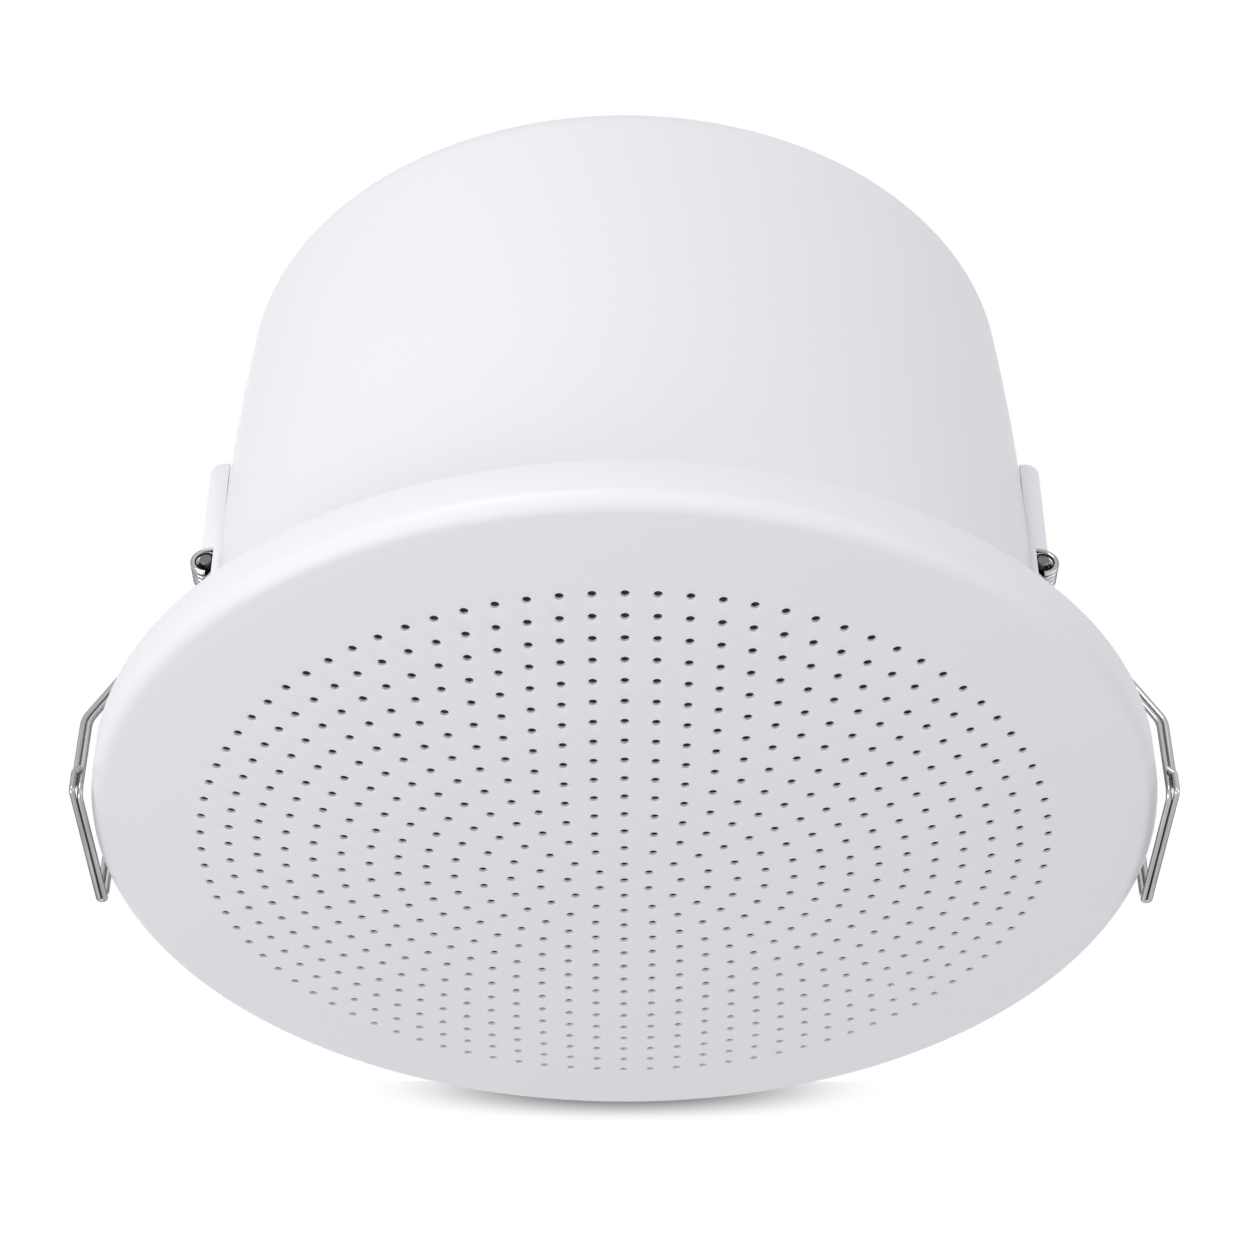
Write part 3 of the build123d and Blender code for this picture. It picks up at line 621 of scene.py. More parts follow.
@cache
def bent_wire_tree() -> NodeTree:
    """Build the tree that sweeps a round wire along a line with rounded bends.

    Returns:
        The tree. The line's points hold their bend radius in the attribute named bend, and the wire
        gets the attributes along and around.
    """
    values = {"Wire Radius": "Float", "Wire Sides": "Int", "Bend Steps": "Int"}
    sheet, given, sink = open_tree("bent_wire", values)

    def marked(curve: object, name: str, measure: str) -> NodeSocket:
        """Store one of the spline parameter's outputs on a curve."""
        value = sheet.take("GeometryNodeSplineParameter", measure)
        inputs = {"Geometry": curve, "Name": name, "Value": value}
        store = "GeometryNodeStoreNamedAttribute"
        return sheet.take(store, "Geometry", inputs, data_type="FLOAT", domain="POINT")

    line = sheet.take("GeometryNodeMeshToCurve", "Curve", {"Mesh": given["Geometry"]})
    bend = sheet.take("GeometryNodeInputNamedAttribute", "Attribute", {"Name": "bend"}, data_type="FLOAT")
    bends = {"Curve": line, "Radius": bend, "Count": given["Bend Steps"], "Limit Radius": True}
    rounded = sheet.take("GeometryNodeFilletCurve", "Curve", bends, mode="POLY")
    circle = {"Resolution": given["Wire Sides"], "Radius": given["Wire Radius"]}
    ring = sheet.take("GeometryNodeCurvePrimitiveCircle", "Curve", circle, mode="RADIUS")
    curves = {"Curve": marked(rounded, "along", "Length"), "Profile Curve": marked(ring, "around", "Factor")}
    tube = sheet.take("GeometryNodeCurveToMesh", "Mesh", {**curves, "Fill Caps": True})
    close_tree(sheet, sink, tube, given["Material"], WIRE_CREASE)
    return sheet.tree


@cache
def fastener_tree() -> NodeTree:
    """Build the tree that puts one fastener at each point of a mesh."""
    sheet, given, sink = open_tree("fasteners", {"Fastener": "Object"})
    one = sheet.take("GeometryNodeObjectInfo", "Geometry", {"Object": given["Fastener"]}, transform_space="ORIGINAL")
    inputs = {"Points": given["Geometry"], "Instance": one}
    many = sheet.take("GeometryNodeInstanceOnPoints", "Instances", inputs)
    real = sheet.take("GeometryNodeRealizeInstances", "Geometry", {"Geometry": many})
    close_tree(sheet, sink, real, given["Material"], FASTENER_CREASE)
    return sheet.tree


def settle(piece: Object, body: str, node: str) -> Object:
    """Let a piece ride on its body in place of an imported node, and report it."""
    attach(piece, body)
    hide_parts(node)
    log.info("%s: %d faces on %s, for %s", piece.name, len(piece.data.polygons), body, node)
    return piece


def wire_piece(name: str, runs: list[Run], radius: float) -> Object:
    """Sweep wires along lines with rounded bends.

    Args:
        name: The piece's name.
        runs: For each wire, its points with their bend radii.
        radius: The wire's radius.

    Returns:
        The piece, dressed in spring wire.
    """
    points, edges, bends = [], [], []
    for run in runs:
        first = len(points)
        points += [spot for spot, _ in run]
        bends += [bend for _, bend in run]
        edges += [(first + step, first + step + 1) for step in range(len(run) - 1)]
    mesh = bpy.data.meshes.new(f"{name}_line")
    mesh.from_pydata(points, edges, [])
    mesh.attributes.new("bend", "FLOAT", "POINT").data.foreach_set("value", bends)
    values = {"Wire Radius": radius, "Wire Sides": WIRE_SIDES, "Bend Steps": BEND_STEPS}
    return run_tree(bent_wire_tree(), mesh, {**values, "Material": SPRING_WIRE.material()}, name)


def fastener_piece(name: str, one: Mesh, spots: list[Point], finish: Finish) -> Object:
    """Put one fastener's mesh, which has its seat at the origin, at each of several places."""
    model = new_object(f"{name}_model", one)
    mesh = bpy.data.meshes.new(f"{name}_spots")
    mesh.from_pydata(spots, [], [])
    piece = run_tree(fastener_tree(), mesh, {"Fastener": model, "Material": finish.material()}, name)
    bpy.data.objects.remove(model)
    return piece


@dataclass
class SoftenedNodes:
    """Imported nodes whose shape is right: copies with merged points and broken edges."""

    nodes: dict[str, Object]
    flat_degrees: float = 0.4
    bevel_steps: int = 2
    bevel_profile: float = 0.5

    def dress(self, node: str, body: str, finish: Finish, bevel: float) -> Object:
        """Make the copy that stands for one node.

        Args:
            node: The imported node's name.
            body: The body it moves with.
            finish: Its finish.
            bevel: Width of its broken edges, or 0.

        Returns:
            The piece.
        """
        bm = merged(self.nodes[node].data, WELD)
        flat = radians(self.flat_degrees)
        bmesh.ops.dissolve_limit(bm, angle_limit=flat, verts=bm.verts, edges=bm.edges)
        if bevel:
            limit = radians(NODE_CREASE)
            hard = [e for e in bm.edges if len(e.link_faces) == 2 and e.calc_face_angle(0.0) > limit]
            shape = {"offset": bevel, "segments": self.bevel_steps, "profile": self.bevel_profile}
            bmesh.ops.bevel(bm, geom=hard, affect="EDGES", clamp_overlap=True, **shape)
        name = f"{node}_piece"
        piece = dressed(name, mesh_from(bm, name, NODE_CREASE), finish.material())
        return settle(piece, body, node)


@dataclass
class FlexRing:
    """A soft ring from the still frame to the moving cone, in sectors."""

    node: str
    finish: Finish
    still: float
    moving: float
    sectors: int = 8

    def sector(self, source: Mesh, middle: float) -> BMesh:
        """Cut one closed sector out of the ring, about a direction in radians."""
        bm = merged(source, WELD)
        for hand in reversed(HANDS):
            edge = middle + hand * pi / self.sectors
            cut_off(bm, (0.0, 0.0, 0.0), (-hand * sin(edge), hand * cos(edge), 0.0))
        return bm

    def build(self, nodes: dict[str, Object]) -> None:
        """Make the ring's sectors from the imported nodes, which are given by name."""
        for number in range(self.sectors):
            middle = tau * number / self.sectors
            name = f"{self.node}_sector_{number + 1}"
            mesh = mesh_from(self.sector(nodes[self.node].data, middle), name, NODE_CREASE)
            piece = dressed(name, mesh, self.finish.material())
            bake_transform(piece)
            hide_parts(self.node)
            log.info("%s: %d faces between speaker and cone, for %s", name, len(mesh.polygons), self.node)


@dataclass
class Grille:
    """The drawn dish: a spherical crown, a turned-up lip and rings of punched holes."""

    radius: float = 115.0 * MM
    sheet: float = 0.8 * MM
    depth: float = 19.4 * MM
    crown: float = 720.0 * MM
    lip: float = 4.0 * MM
    lip_edge: float = 0.32 * MM
    rings: int = 15
    pitch: float = 6.1 * MM
    hole_radius: float = 0.9 * MM
    hole_edge: float = 0.26 * MM
    hole_flare: float = 0.026 * MM
    hole_sides: int = 14
    segments: int = 288
    crown_steps: int = 26
    lip_steps: int = 12
    edge_steps: int = 3

    def section(self) -> Profile:
        """Return the closed section of the sheet, from the crown's front to its back."""
        centre = (0.0, self.crown - self.depth)
        lip_r = self.radius - self.lip
        lean = degrees(asin(lip_r / (self.crown - self.lip))) - 90.0
        lip_z = centre[1] - sqrt((self.crown - self.lip) ** 2 - lip_r**2)
        edge, steps = self.lip_edge, self.edge_steps
        inside = self.radius - self.sheet
        front = arc(centre, self.crown, -90.0, lean, self.crown_steps)
        turn = arc((lip_r, lip_z), self.lip, lean, 0.0, self.lip_steps)
        top = arc((self.radius - edge, -edge), edge, 0.0, 90.0, steps)
        top += arc((inside + edge, -edge), edge, 90.0, 180.0, steps)
        back_turn = arc((lip_r, lip_z), self.lip - self.sheet, 0.0, lean, self.lip_steps)
        back = arc(centre, self.crown - self.sheet, lean, -90.0, self.crown_steps)
        return front + turn[1:] + top + back_turn + back[1:]

    def punch(self) -> Mesh:
        """Return the tool that cuts one hole and rounds its edge, with the sheet's face at height 0."""
        wide, deep = self.hole_radius + self.hole_edge, PIERCE * self.sheet
        rounding = arc((wide, -self.hole_edge), self.hole_edge, 180.0, 90.0, self.edge_steps)
        profile = [(0.0, -deep), (self.hole_radius, -deep), *rounding]
        profile += [(wide + self.hole_flare, deep), (0.0, deep)]
        return mesh_from(lathe(profile, self.hole_sides), "punch")

    def build(self) -> Object:
        """Turn the dish, punch it and dress it."""
        shell = mesh_from(lathe(self.section(), self.segments), "grille_dish")
        punch = new_object("punch", self.punch())
        values = {
            "Rings": self.rings,
            "Pitch": self.pitch,
            "Crown Radius": self.crown,
            "Crown Centre": self.crown - self.depth,
            "Punch": punch,
            "Material": WHITE_COAT.material(),
        }
        piece = run_tree(perforation_tree(), shell, values, "grille_dish")
        bpy.data.objects.remove(punch)
        return settle(piece, "speaker", "grille")


@dataclass
class BackCan:
    """The drawn steel can with its foot, its two clip flats and its rounded roof edge."""

    base: float = 94.7 * MM
    height: float = 127.0 * MM
    wall: float = 0.9 * MM
    draft: float = 0.8
    straight: float = 56.9 * MM
    curve: float = 844.0 * MM
    corner: float = 7.0 * MM
    foot: float = 5.8 * MM
    foot_edge: float = 0.27 * MM
    flat: float = 90.3 * MM
    entries: tuple[Pair, ...] = ((-35.0 * MM, 46.0 * MM), (35.0 * MM, 46.0 * MM))
    entry_radius: float = 6.5 * MM
    entry_sides: int = 48
    segments: int = 288
    wall_steps: int = 16
    corner_steps: int = 12

    def outline(self, inset: float) -> Profile:
        """Return the wall's line from the ceiling plane to the axis.

        Args:
            inset: How far the line lies inside the can's outer face.

        Returns:
            The points.
        """
        lean = radians(self.draft)
        base = self.base - inset / cos(lean)
        shoulder = base - self.straight * tan(lean)
        reach = self.curve - inset
        centre = (shoulder - reach * cos(lean), self.straight - reach * sin(lean))
        top = self.height - inset
        rise = top - (self.corner - inset) - centre[1]
        far = self.curve - self.corner
        stop = asin(rise / far)
        spot = (centre[0] + far * cos(stop), centre[1] + far * sin(stop))
        line = [(base, 0.0)] + arc(centre, reach, self.draft, degrees(stop), self.wall_steps)
        line += arc(spot, self.corner - inset, degrees(stop), 90.0, self.corner_steps)[1:]
        return line + [(0.0, top)]

    def solid(self, inset: float, low: float) -> Mesh:
        """Return a filled body inside the wall's line and above a height, cut off at the clip flats."""
        line = self.outline(inset)
        bm = lathe([(0.0, low), (line[0][0], low)] + line[1:], self.segments)
        for side in Side:
            cut_off(bm, (side.value * (self.flat - inset), 0.0, 0.0), (side.value, 0.0, 0.0))
        return mesh_from(bm, "can_body")

    def build(self) -> Object:
        """Join the body and the foot, hollow them out, pierce the roof and dress the can."""
        rim, edge = self.base + self.foot, self.foot_edge
        profile = [(0.0, 0.0), (rim - edge, 0.0), (rim, edge), (rim, self.wall - edge)]
        profile += [(rim - edge, self.wall), (0.0, self.wall)]
        foot = mesh_from(lathe(profile, self.segments), "can_foot")
        can = combined(self.solid(0.0, self.wall / 2.0), foot, "UNION")
        can = combined(can, self.solid(self.wall, -self.wall), "DIFFERENCE")
        low, high = self.height - PIERCE * self.wall, self.height + self.wall
        plug = [(0.0, low), (self.entry_radius, low), (self.entry_radius, high), (0.0, high)]
        for x, y in self.entries:
            hole = lathe(plug, self.entry_sides)
            bmesh.ops.translate(hole, verts=hole.verts, vec=(x, y, 0.0))
            can = combined(can, mesh_from(hole, "entry_hole"), "DIFFERENCE")
        can = mesh_from(merged(can, WELD / 2.0), "back_can_shell", CAN_CREASE)
        piece = dressed("back_can_shell", can, WHITE_COAT.material())
        return settle(piece, "speaker", "back_can")


@dataclass
class PanScrew:
    """A pan-headed screw with a cross recess, seated at the origin with its head up.

    From rim to blade, the fields are shares: of the rise, of the head's radius, of the shank's radius for
    point and taper, and of head, head and rise for the blade's length, width and height.
    """

    shank: float
    head: float
    rise: float
    length: float
    rim: float = 0.25
    seat: float = 0.96
    point: float = 0.6
    taper: float = 0.5
    blade: Point = (1.15, 0.26, 1.3)
    sides: int = 28

    def mesh(self) -> Mesh:
        """Turn the screw and sink its recess."""
        end = -self.length
        profile = [(0.0, end), (self.point * self.shank, end), (self.shank, end + self.taper * self.shank)]
        profile += [(self.shank, 0.0), (self.seat * self.head, 0.0)]
        profile += dome(self.head, self.rim * self.rise, (1.0 - self.rim) * self.rise)
        screw = mesh_from(lathe(profile + [(0.0, self.rise)], self.sides), "screw", FASTENER_CREASE)
        long, thin = self.blade[0] * self.head, self.blade[1] * self.head
        for across in ((long, thin), (thin, long)):
            blade = bmesh.new()
            bmesh.ops.create_cube(blade, size=1.0)
            bmesh.ops.scale(blade, verts=blade.verts, vec=(*across, self.blade[2] * self.rise))
            bmesh.ops.translate(blade, verts=blade.verts, vec=(0.0, 0.0, self.rise))
            screw = combined(screw, mesh_from(blade, "blade"), "DIFFERENCE")
        return screw


@dataclass
class Fixings:
    """The screws that show on the can's foot and roof, and those that hold the driver."""

    wall: float = 0.9 * MM
    roof: float = 127.0 * MM
    can_circle: float = 98.0 * MM
    driver_circle: float = 78.5 * MM
    driver_seat: float = 3.2 * MM
    strap_spacing: float = 54.0 * MM
    block_offset: float = 46.0 * MM

    @staticmethod
    def corners(circle: float, height: float) -> list[Point]:
        """Return the places of four screws at 45 degrees on a circle."""
        reach = circle * sqrt(0.5)
        return [(x * reach, y * reach, height) for x in (-1, 1) for y in (-1, 1)]

    def build(self) -> None:
        """Make each set of screws and let it stand for its node."""
        strap = [(side.value * self.strap_spacing / 2, 0.0, self.roof) for side in Side]
        foot = self.corners(self.can_circle, self.wall)
        driver = self.corners(self.driver_circle, self.driver_seat)
        block = [(0.0, self.block_offset, self.roof)]
        sets = {
            "can_screws": (PanScrew(1.5 * MM, 2.3 * MM, 1.8 * MM, 3.6 * MM), foot),
            "driver_screws": (PanScrew(1.9 * MM, 3.6 * MM, 2.4 * MM, 5.9 * MM), driver),
            "transformer_screws": (PanScrew(1.9 * MM, 3.8 * MM, 1.6 * MM, 3.1 * MM), strap),
            "block_screw": (PanScrew(1.7 * MM, 3.4 * MM, 1.4 * MM, 8.9 * MM), block),
        }
        for node, (screw, spots) in sets.items():
            piece = fastener_piece(f"{node}_piece", screw.mesh(), spots, ZINC)
            settle(piece, "speaker", node)


@dataclass
class Clip:
    """One sprung clip: a bracket, coils on a pin, two legs and a bail that doubles their lower ends.

    The runs of wire are those of the right-hand clip, points with their bend radii, until build.
    """

    side: Side
    wire: float = 0.65 * MM
    coil: float = 3.0 * MM
    half_turns: int = 7
    turn_steps: int = 12
    gap: float = 0.05 * MM
    coil_start: float = 14.2 * MM
    pivot: Pair = (94.05 * MM, 52.6 * MM)
    tail: float = 12.0 * MM
    bend: Pair = (116.6 * MM, 8.7 * MM)
    tip: Pair = (116.75 * MM, -8.9 * MM)
    bend_radius: float = 6.0 * MM
    end_turn: float = 300.0
    end_steps: int = 36
    bar_height: float = -11.0 * MM
    bar_corner: float = 2.6 * MM
    overlap: float = 9.0 * MM
    hook_bend: float = 0.8 * MM
    hook_top: float = -6.2 * MM
    hook_end: float = -5.0 * MM
    arm_end: float = -9.5 * MM
    rivets: Pair = (63.0 * MM, 73.0 * MM)
    rivet_inside: float = 89.4 * MM
    rivet_outside: float = 95.0 * MM
    rivet_head: float = 3.2 * MM
    rivet_shank: float = 1.6 * MM
    rivet_rise: float = 1.1 * MM
    rivet_sides: int = 32
    bracket_low: float = 56.9 * MM
    bracket_inside: Pair = (93.85 * MM, 21.65 * MM)
    bracket_bevel: float = 0.2 * MM

    @property
    def pitch(self) -> float:
        """Distance from one turn of the coil to the next."""
        return 2.0 * self.wire + self.gap

    @property
    def leg_y(self) -> float:
        """Distance of each leg from the clip's middle."""
        return self.coil_start + self.pitch * self.half_turns / 2.0 + 2.0 * (self.wire + self.gap)

    def spot(self, x: float, y: float, z: float) -> Point:
        """Return a point of the right-hand clip on this clip's own side."""
        return (self.side.value * x, y, z)

    def coil_run(self, hand: int) -> Run:
        """Return the line of the coil at +Y or -Y, from its tail to its last turn."""
        px, pz = self.pivot
        step_y = self.pitch / 4.0
        rise = hypot(self.coil, step_y)
        run = [((px - self.coil, hand * self.coil_start, pz + self.tail), 0.0)]
        for turn in range(self.half_turns):
            way = -1.0 if turn % 2 else 1.0
            start = self.coil_start + turn * self.pitch / 2.0
            for step in range(1 if turn else 0, self.turn_steps + 1):
                t = pi * step / self.turn_steps
                x, y = px - way * self.coil * cos(t), start + (1.0 - cos(t)) * step_y
                run.append(((x, hand * y, pz - way * rise * sin(t)), 0.0))
        return run

    def leave(self) -> Pair:
        """Return where the leg leaves its end turn, on the can's side."""
        px, pz = self.pivot
        dx, dz = self.bend[0] - px, self.bend[1] - pz
        angle = atan2(dz, dx) - acos(self.coil / hypot(dx, dz))
        return (px + self.coil * cos(angle), pz + self.coil * sin(angle))

    def leg_run(self, hand: int) -> Run:
        """Return the line of the leg at +Y or -Y, from its end turn to its tip."""
        leave = self.leave()
        last = degrees(atan2(leave[1] - self.pivot[1], leave[0] - self.pivot[0]))
        y = hand * self.leg_y
        turn = arc(self.pivot, self.coil, last - self.end_turn, last, self.end_steps)
        bend, tip = ((x, y, z) for x, z in (self.bend, self.tip))
        return [((x, y, z), 0.0) for x, z in turn] + [(bend, self.bend_radius), (tip, 0.0)]

    def bail_runs(self) -> list[Run]:
        """Return the bail's lines: a hairpin that hooks over the near leg's end, and the far leg's double."""
        run = (Vector(self.bend) - Vector(self.leave())).normalized()
        drop = (Vector(self.tip) - Vector(self.bend)).normalized()
        inward = [Vector((run.y, -run.x)), Vector((drop.y, -drop.x))]
        shift = (inward[0] + inward[1]) * (self.pitch / (1.0 + inward[0].dot(inward[1])))
        bend = Vector(self.bend) + shift
        start = bend - run * self.overlap
        bar = self.bar_height
        inner, outer = bend.x + drop.x * ((bar - bend.y) / drop.y), self.tip[0]
        turn = (outer - inner) / 2.0
        near, far, front = -self.leg_y, self.leg_y, -self.leg_y - self.pitch
        hairpin, double = (
            [((start.x, y, start.y), 0.0), ((bend.x, y, bend.y), self.bend_radius)] for y in (near, far)
        )
        hairpin += [((inner, near, bar), self.bar_corner), ((inner, far, bar), turn)]
        hairpin += [((outer, far, bar), turn), ((outer, front, bar), self.hook_bend)]
        hairpin += [((outer, front, self.hook_top), self.hook_bend), ((inner, front, self.hook_end), 0.0)]
        double.append(((inner, far, self.arm_end), 0.0))
        return [hairpin, double]

    def rivet(self) -> Mesh:
        """Turn one rivet along X, with a domed head outside and a flat one inside."""
        reach, head, rise = self.rivet_outside - self.rivet_inside, self.rivet_head, self.rivet_rise
        profile = [(0.0, -rise), (head, -rise), (head, 0.0), (self.rivet_shank, 0.0), (self.rivet_shank, reach)]
        profile += dome(head, reach, rise) + [(0.0, reach + rise)]
        bm = lathe(profile, self.rivet_sides)
        for vert in bm.verts:
            x, y, z = vert.co
            vert.co = self.spot(z, y, x)
        bmesh.ops.recalc_face_normals(bm, faces=bm.faces)
        return mesh_from(bm, "rivet", FASTENER_CREASE)

    def bare_inside(self, bracket: Object) -> None:
        """Paint the faces inside the bracket's channel near-black: painted shade in the slit between bracket and
        can.
        """
        bracket.data.materials.append(CHANNEL_SHADE.material())
        reach, half = self.bracket_inside
        for face in bracket.data.polygons:
            x, y, z = face.center
            if x * self.side.value < reach and abs(y) < half and z > self.bracket_low:
                face.material_index = 1

    def build(self, softened: SoftenedNodes) -> None:
        """Make the clip's bracket, wires and rivets."""
        clip = f"{self.side.word}_clip"
        bracket = softened.dress(f"{clip}_bracket", "speaker", WHITE_COAT, self.bracket_bevel)
        self.bare_inside(bracket)
        wires = {
            f"{clip}_coils": ("speaker", [self.coil_run(hand) for hand in HANDS]),
            f"{clip}_legs": (clip, [self.leg_run(hand) for hand in HANDS]),
            f"{clip}_bail": (clip, self.bail_runs()),
        }
        for node, (body, runs) in wires.items():
            placed = [[(self.spot(*point), bend) for point, bend in run] for run in runs]
            settle(wire_piece(f"{node}_piece", placed, self.wire), body, node)
        spots = [self.spot(self.rivet_inside, 0.0, height) for height in self.rivets]
        rivets = fastener_piece(f"{clip}_rivets_piece", self.rivet(), spots, WHITE_COAT)
        settle(rivets, "speaker", f"{clip}_rivets")


@dataclass
class Studio:
    """Camera, lamps, white surroundings, a pale floor and a soft shadow.

    Each lamp has its place, its size and its power in watts.
    """

    eye: Point = (-0.51 * MM, -532.33 * MM, -368.71 * MM)
    sight: Point = (0.00156, 0.78585, 0.61841)
    lens: float = 84.61
    sensor: float = 36.0
    clip_start: float = 10.0 * MM
    ambient: float = 0.52
    target: Point = (0.0, 0.0, 40.0 * MM)
    floor_height: float = -20.0 * MM
    floor_reach: float = 6.0
    floor_sides: int = 96
    floor_fade: Pair = (0.35, 1.3)
    # Glow of the floor from full occlusion to none: the span of its painted shadow.
    floor_tones: Pair = (0.5, 0.93)
    floor_shadow: float = 90.0 * MM
    floor_samples: int = 16
    shadow_place: Point = (0.3 * MM, 121.4 * MM, -2.0 * MM)
    shadow_size: Pair = (66.0 * MM, 17.6 * MM)
    shadow_top: float = 0.22
    shadow_core: float = 0.17
    shadow_depth: float = 0.86
    lamps: dict[str, tuple[Point, float, float]] = field(
        default_factory=lambda: {
            "key": ((-0.55, -1.45, 0.2), 0.9, 9.1),
            "fill": ((1.0, -1.1, -0.6), 1.2, 2.4),
            "edge": ((1.6, -0.2, -0.35), 1.0, 3.0),
            "under": ((-1.0, -0.4, -1.1), 1.0, 7.9),
            "back": ((-0.1, 1.3, 1.0), 1.2, 4.0),
        }
    )

    @staticmethod
    def aim(thing: Object, place: Point, sight: Vector) -> None:
        """Put a camera or a lamp at a place and turn it towards a direction."""
        thing.location = place
        thing.rotation_mode = "QUATERNION"
        thing.rotation_quaternion = sight.to_track_quat("-Z", "Y")

    def camera(self) -> None:
        """Set the camera where the photograph was taken."""
        data = bpy.data.cameras.new("photo_camera")
        data.lens, data.sensor_width, data.clip_start = self.lens, self.sensor, self.clip_start
        camera = new_object("photo_camera", data)
        self.aim(camera, self.eye, Vector(self.sight))
        bpy.context.scene.camera = camera

    def surroundings(self) -> None:
        """Make the world white to the eye and to reflections, and softer as light."""
        world = bpy.data.worlds.new("studio_white")
        bpy.context.scene.world = world
        sheet = blank_sheet(world)
        path = sheet.add("ShaderNodeLightPath").outputs
        seen = sheet.math("MAXIMUM", path["Is Camera Ray"], path["Is Glossy Ray"])
        seen = sheet.math("MAXIMUM", seen, path["Is Transmission Ray"])
        light = {"Color": WHITE, "Strength": sheet.mix(seen, self.ambient, 1.0, "FLOAT")}
        glow = sheet.take("ShaderNodeBackground", "Background", light)
        sheet.add("ShaderNodeOutputWorld", {"Surface": glow})

    def light(self) -> None:
        """Place the soft lamps, all aimed at the part's middle."""
        for name, (place, size, watts) in self.lamps.items():
            data = bpy.data.lights.new(f"{name}_lamp", "AREA")
            data.shape, data.size, data.energy = "DISK", size, watts
            lamp = new_object(f"{name}_lamp", data)
            lamp.visible_camera = False
            self.aim(lamp, place, Vector(self.target) - Vector(place))

    @staticmethod
    def stage_material(name: str) -> tuple[Material, NodeSheet, NodeSocket]:
        """Return an empty material, its sheet of nodes and a mask of camera rays that meet the front."""
        material = bpy.data.materials.new(name)
        sheet = blank_sheet(material)
        seen = sheet.take("ShaderNodeLightPath", "Is Camera Ray")
        front = sheet.math("SUBTRACT", 1.0, sheet.take("ShaderNodeNewGeometry", "Backfacing"))
        return material, sheet, sheet.math("MULTIPLY", seen, front)

    @staticmethod
    def close_stage(sheet: NodeSheet, mask: NodeSocket, colour: tuple, strength: object) -> None:
        """Show an even glow where the mask is 1, and nothing elsewhere."""
        clear = sheet.take("ShaderNodeBsdfTransparent", "BSDF")
        glow = sheet.take("ShaderNodeEmission", "Emission", {"Color": colour, "Strength": strength})
        mix = sheet.take("ShaderNodeMixShader", "Shader", {0: mask, 1: clear, 2: glow})
        sheet.add("ShaderNodeOutputMaterial", {"Surface": mix})

    def floor(self) -> None:
        """Lay a pale floor seen from above, with painted shade from occlusion, that fades to white and passes light
        from below.
        """
        material, sheet, seen = self.stage_material("pale_floor")
        reach = {"Distance": self.floor_shadow}
        # Painted shadow: the floor's glow dims where ambient occlusion finds the part close by.
        sky = sheet.take("ShaderNodeAmbientOcclusion", "AO", reach, samples=self.floor_samples)
        tone = sheet.remap(sky, target=self.floor_tones)
        place = sheet.take("ShaderNodeTexCoord", "Object")
        away = sheet.take("ShaderNodeVectorMath", "Value", {0: place}, operation="LENGTH")
        fade = sheet.remap(away, self.floor_fade, interpolation_type="SMOOTHSTEP")
        self.close_stage(sheet, seen, WHITE, sheet.mix(fade, tone, 1.0, "FLOAT"))
        bm = bmesh.new()
        bmesh.ops.create_circle(bm, cap_ends=True, segments=self.floor_sides, radius=self.floor_reach)
        bmesh.ops.translate(bm, verts=bm.verts, vec=(0.0, 0.0, self.floor_height))
        for face in bm.faces:
            if face.normal.z < 0.0:
                face.normal_flip()
        dressed("floor", mesh_from(bm, "floor"), material)

    def contact_shadow(self) -> None:
        """Hang a small soft shadow behind the far rim, seen only from below."""
        material, sheet, seen = self.stage_material("soft_shadow")
        squares = [sheet.math("POWER", sheet.attribute(name), 2.0) for name in ("shadow_x", "shadow_y")]
        spread = sheet.math("SQRT", sheet.math("ADD", *squares))
        core, depth = (self.shadow_core, 1.0), (self.shadow_depth, 0.0)
        fade = sheet.remap(spread, core, depth, interpolation_type="SMOOTHSTEP")
        self.close_stage(sheet, sheet.math("MULTIPLY", seen, fade), BLACK, 0.0)
        steps = [(-1.0, self.shadow_top), (-1.0, -1.0), (1.0, -1.0), (1.0, self.shadow_top)]
        width, height = self.shadow_size
        spots = [Vector(self.shadow_place) + Vector((x * width, -y * height, 0.0)) for x, y in steps]
        mesh = bpy.data.meshes.new("contact_shadow")
        mesh.from_pydata(spots, [], [(0, 1, 2, 3)])
        for name, values in zip(("shadow_x", "shadow_y"), zip(*steps)):
            mesh.attributes.new(name, "FLOAT", "POINT").data.foreach_set("value", values)
        card = dressed("contact_shadow", mesh, material)
        for ray in ("diffuse", "glossy", "transmission", "volume_scatter", "shadow"):
            setattr(card, f"visible_{ray}", False)

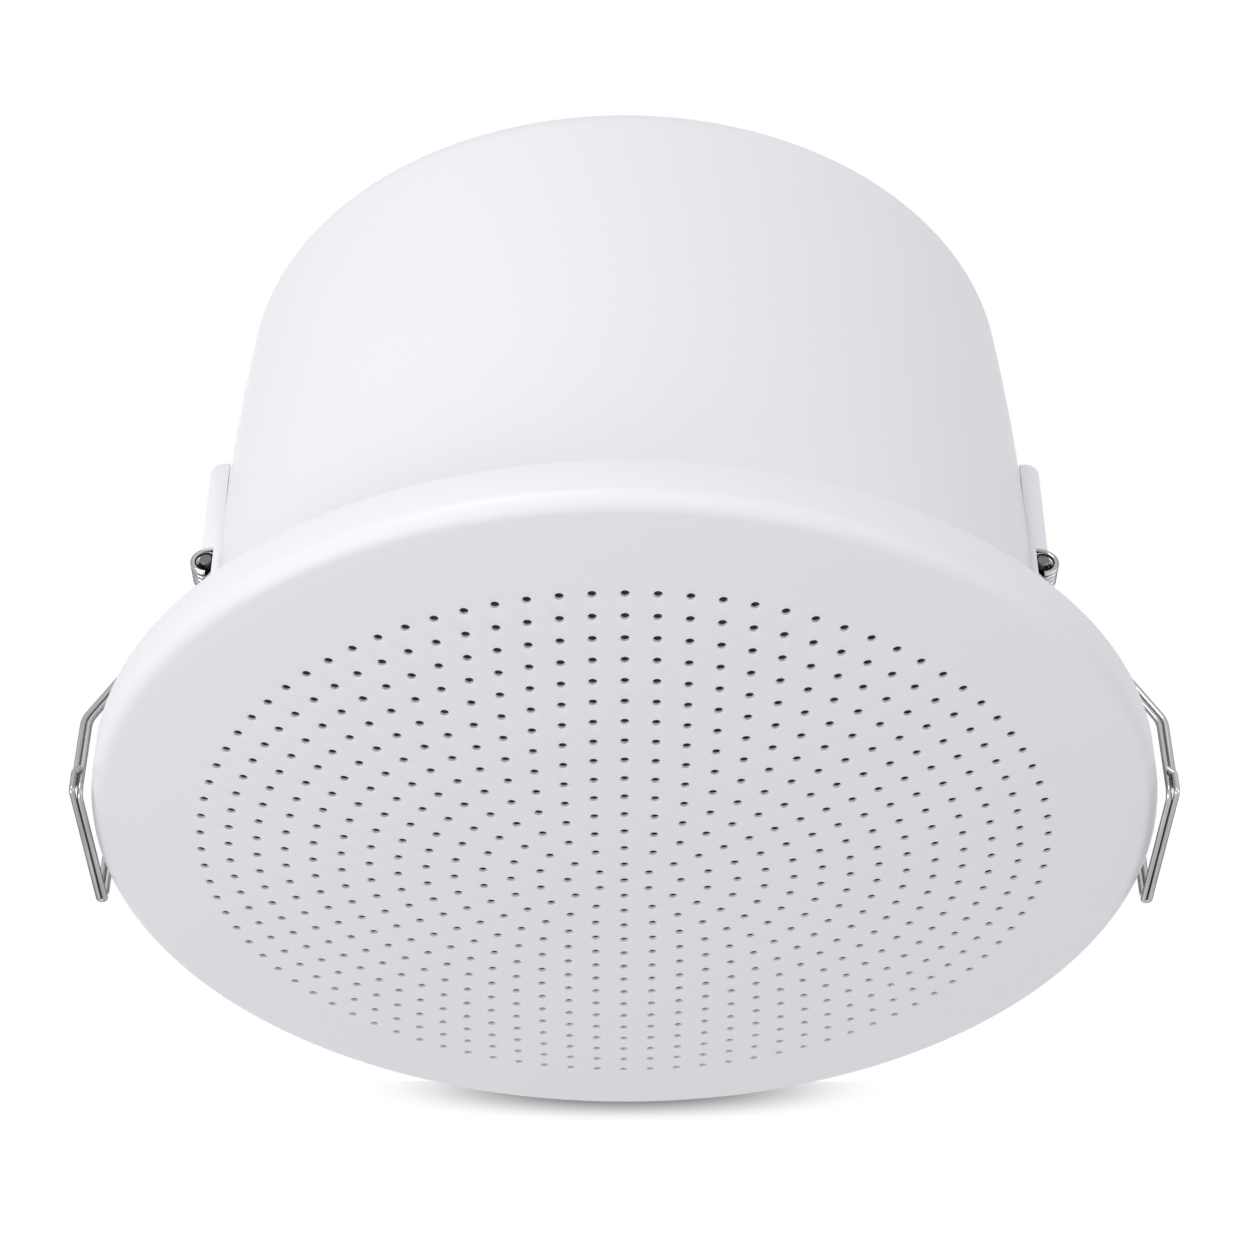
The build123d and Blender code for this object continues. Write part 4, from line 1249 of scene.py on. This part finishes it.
    def build(self) -> None:
        """Set up everything round the part."""
        self.camera()
        self.surroundings()
        self.light()
        self.floor()
        self.contact_shadow()
        bpy.context.scene.view_settings.view_transform = "Standard"


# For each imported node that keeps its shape: its body, its finish and its bevel.
PLAIN_NODES: dict[str, tuple[str, Finish, float]] = {
    "mounting_ring": ("speaker", WHITE_COAT, 0.25 * MM),
    "acoustic_cloth": ("speaker", ACOUSTIC_CLOTH, 0.0),
    "driver_gasket": ("speaker", BLACK_FOAM, 0.0),
    "driver_frame": ("speaker", BLACK_PAINT, 0.0),
    "top_plate": ("speaker", ZINC, 0.0),
    "magnet": ("speaker", FERRITE, 0.0),
    "yoke": ("speaker", ZINC, 0.0),
    "tag_board": ("speaker", FIBRE_BOARD, 0.1 * MM),
    "solder_tags": ("speaker", TINNED_BRASS, 0.1 * MM),
    "transformer_core": ("speaker", LAMINATION, 0.2 * MM),
    "transformer_winding": ("speaker", YELLOW_TAPE, 0.3 * MM),
    "transformer_strap": ("speaker", ZINC, 0.2 * MM),
    "terminal_block": ("speaker", CERAMIC, 0.3 * MM),
    "clamp_screws": ("speaker", TINNED_BRASS, 0.2 * MM),
    "cable_grommets": ("speaker", BLACK_RUBBER, 0.2 * MM),
    "cone": ("cone", PAPER, 0.0),
    "dust_cap": ("cone", PAPER, 0.0),
    "voice_coil": ("cone", COPPER, 0.0),
    "left_clip_pin": ("speaker", PIN_STEEL, 0.0),
    "right_clip_pin": ("speaker", PIN_STEEL, 0.0),
}

FLEX_RINGS = [
    FlexRing("surround", BLACK_RUBBER, 70.5 * MM, 57.5 * MM),
    FlexRing("spider", SPIDER_CLOTH, 35.0 * MM, 15.55 * MM),
]


def main() -> None:
    """Build the speaker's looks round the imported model."""
    logging.basicConfig(level=logging.INFO, format="%(name)s: %(message)s")
    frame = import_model()
    Studio().build()
    Grille().build()
    BackCan().build()
    softened = SoftenedNodes(frame["nodes"])
    for node, (body, finish, bevel) in PLAIN_NODES.items():
        softened.dress(node, body, finish, bevel)
    for ring in FLEX_RINGS:
        ring.build(frame["nodes"])
    Fixings().build()
    for side in Side:
        Clip(side).build(softened)


if __name__ == "__main__":
    main()
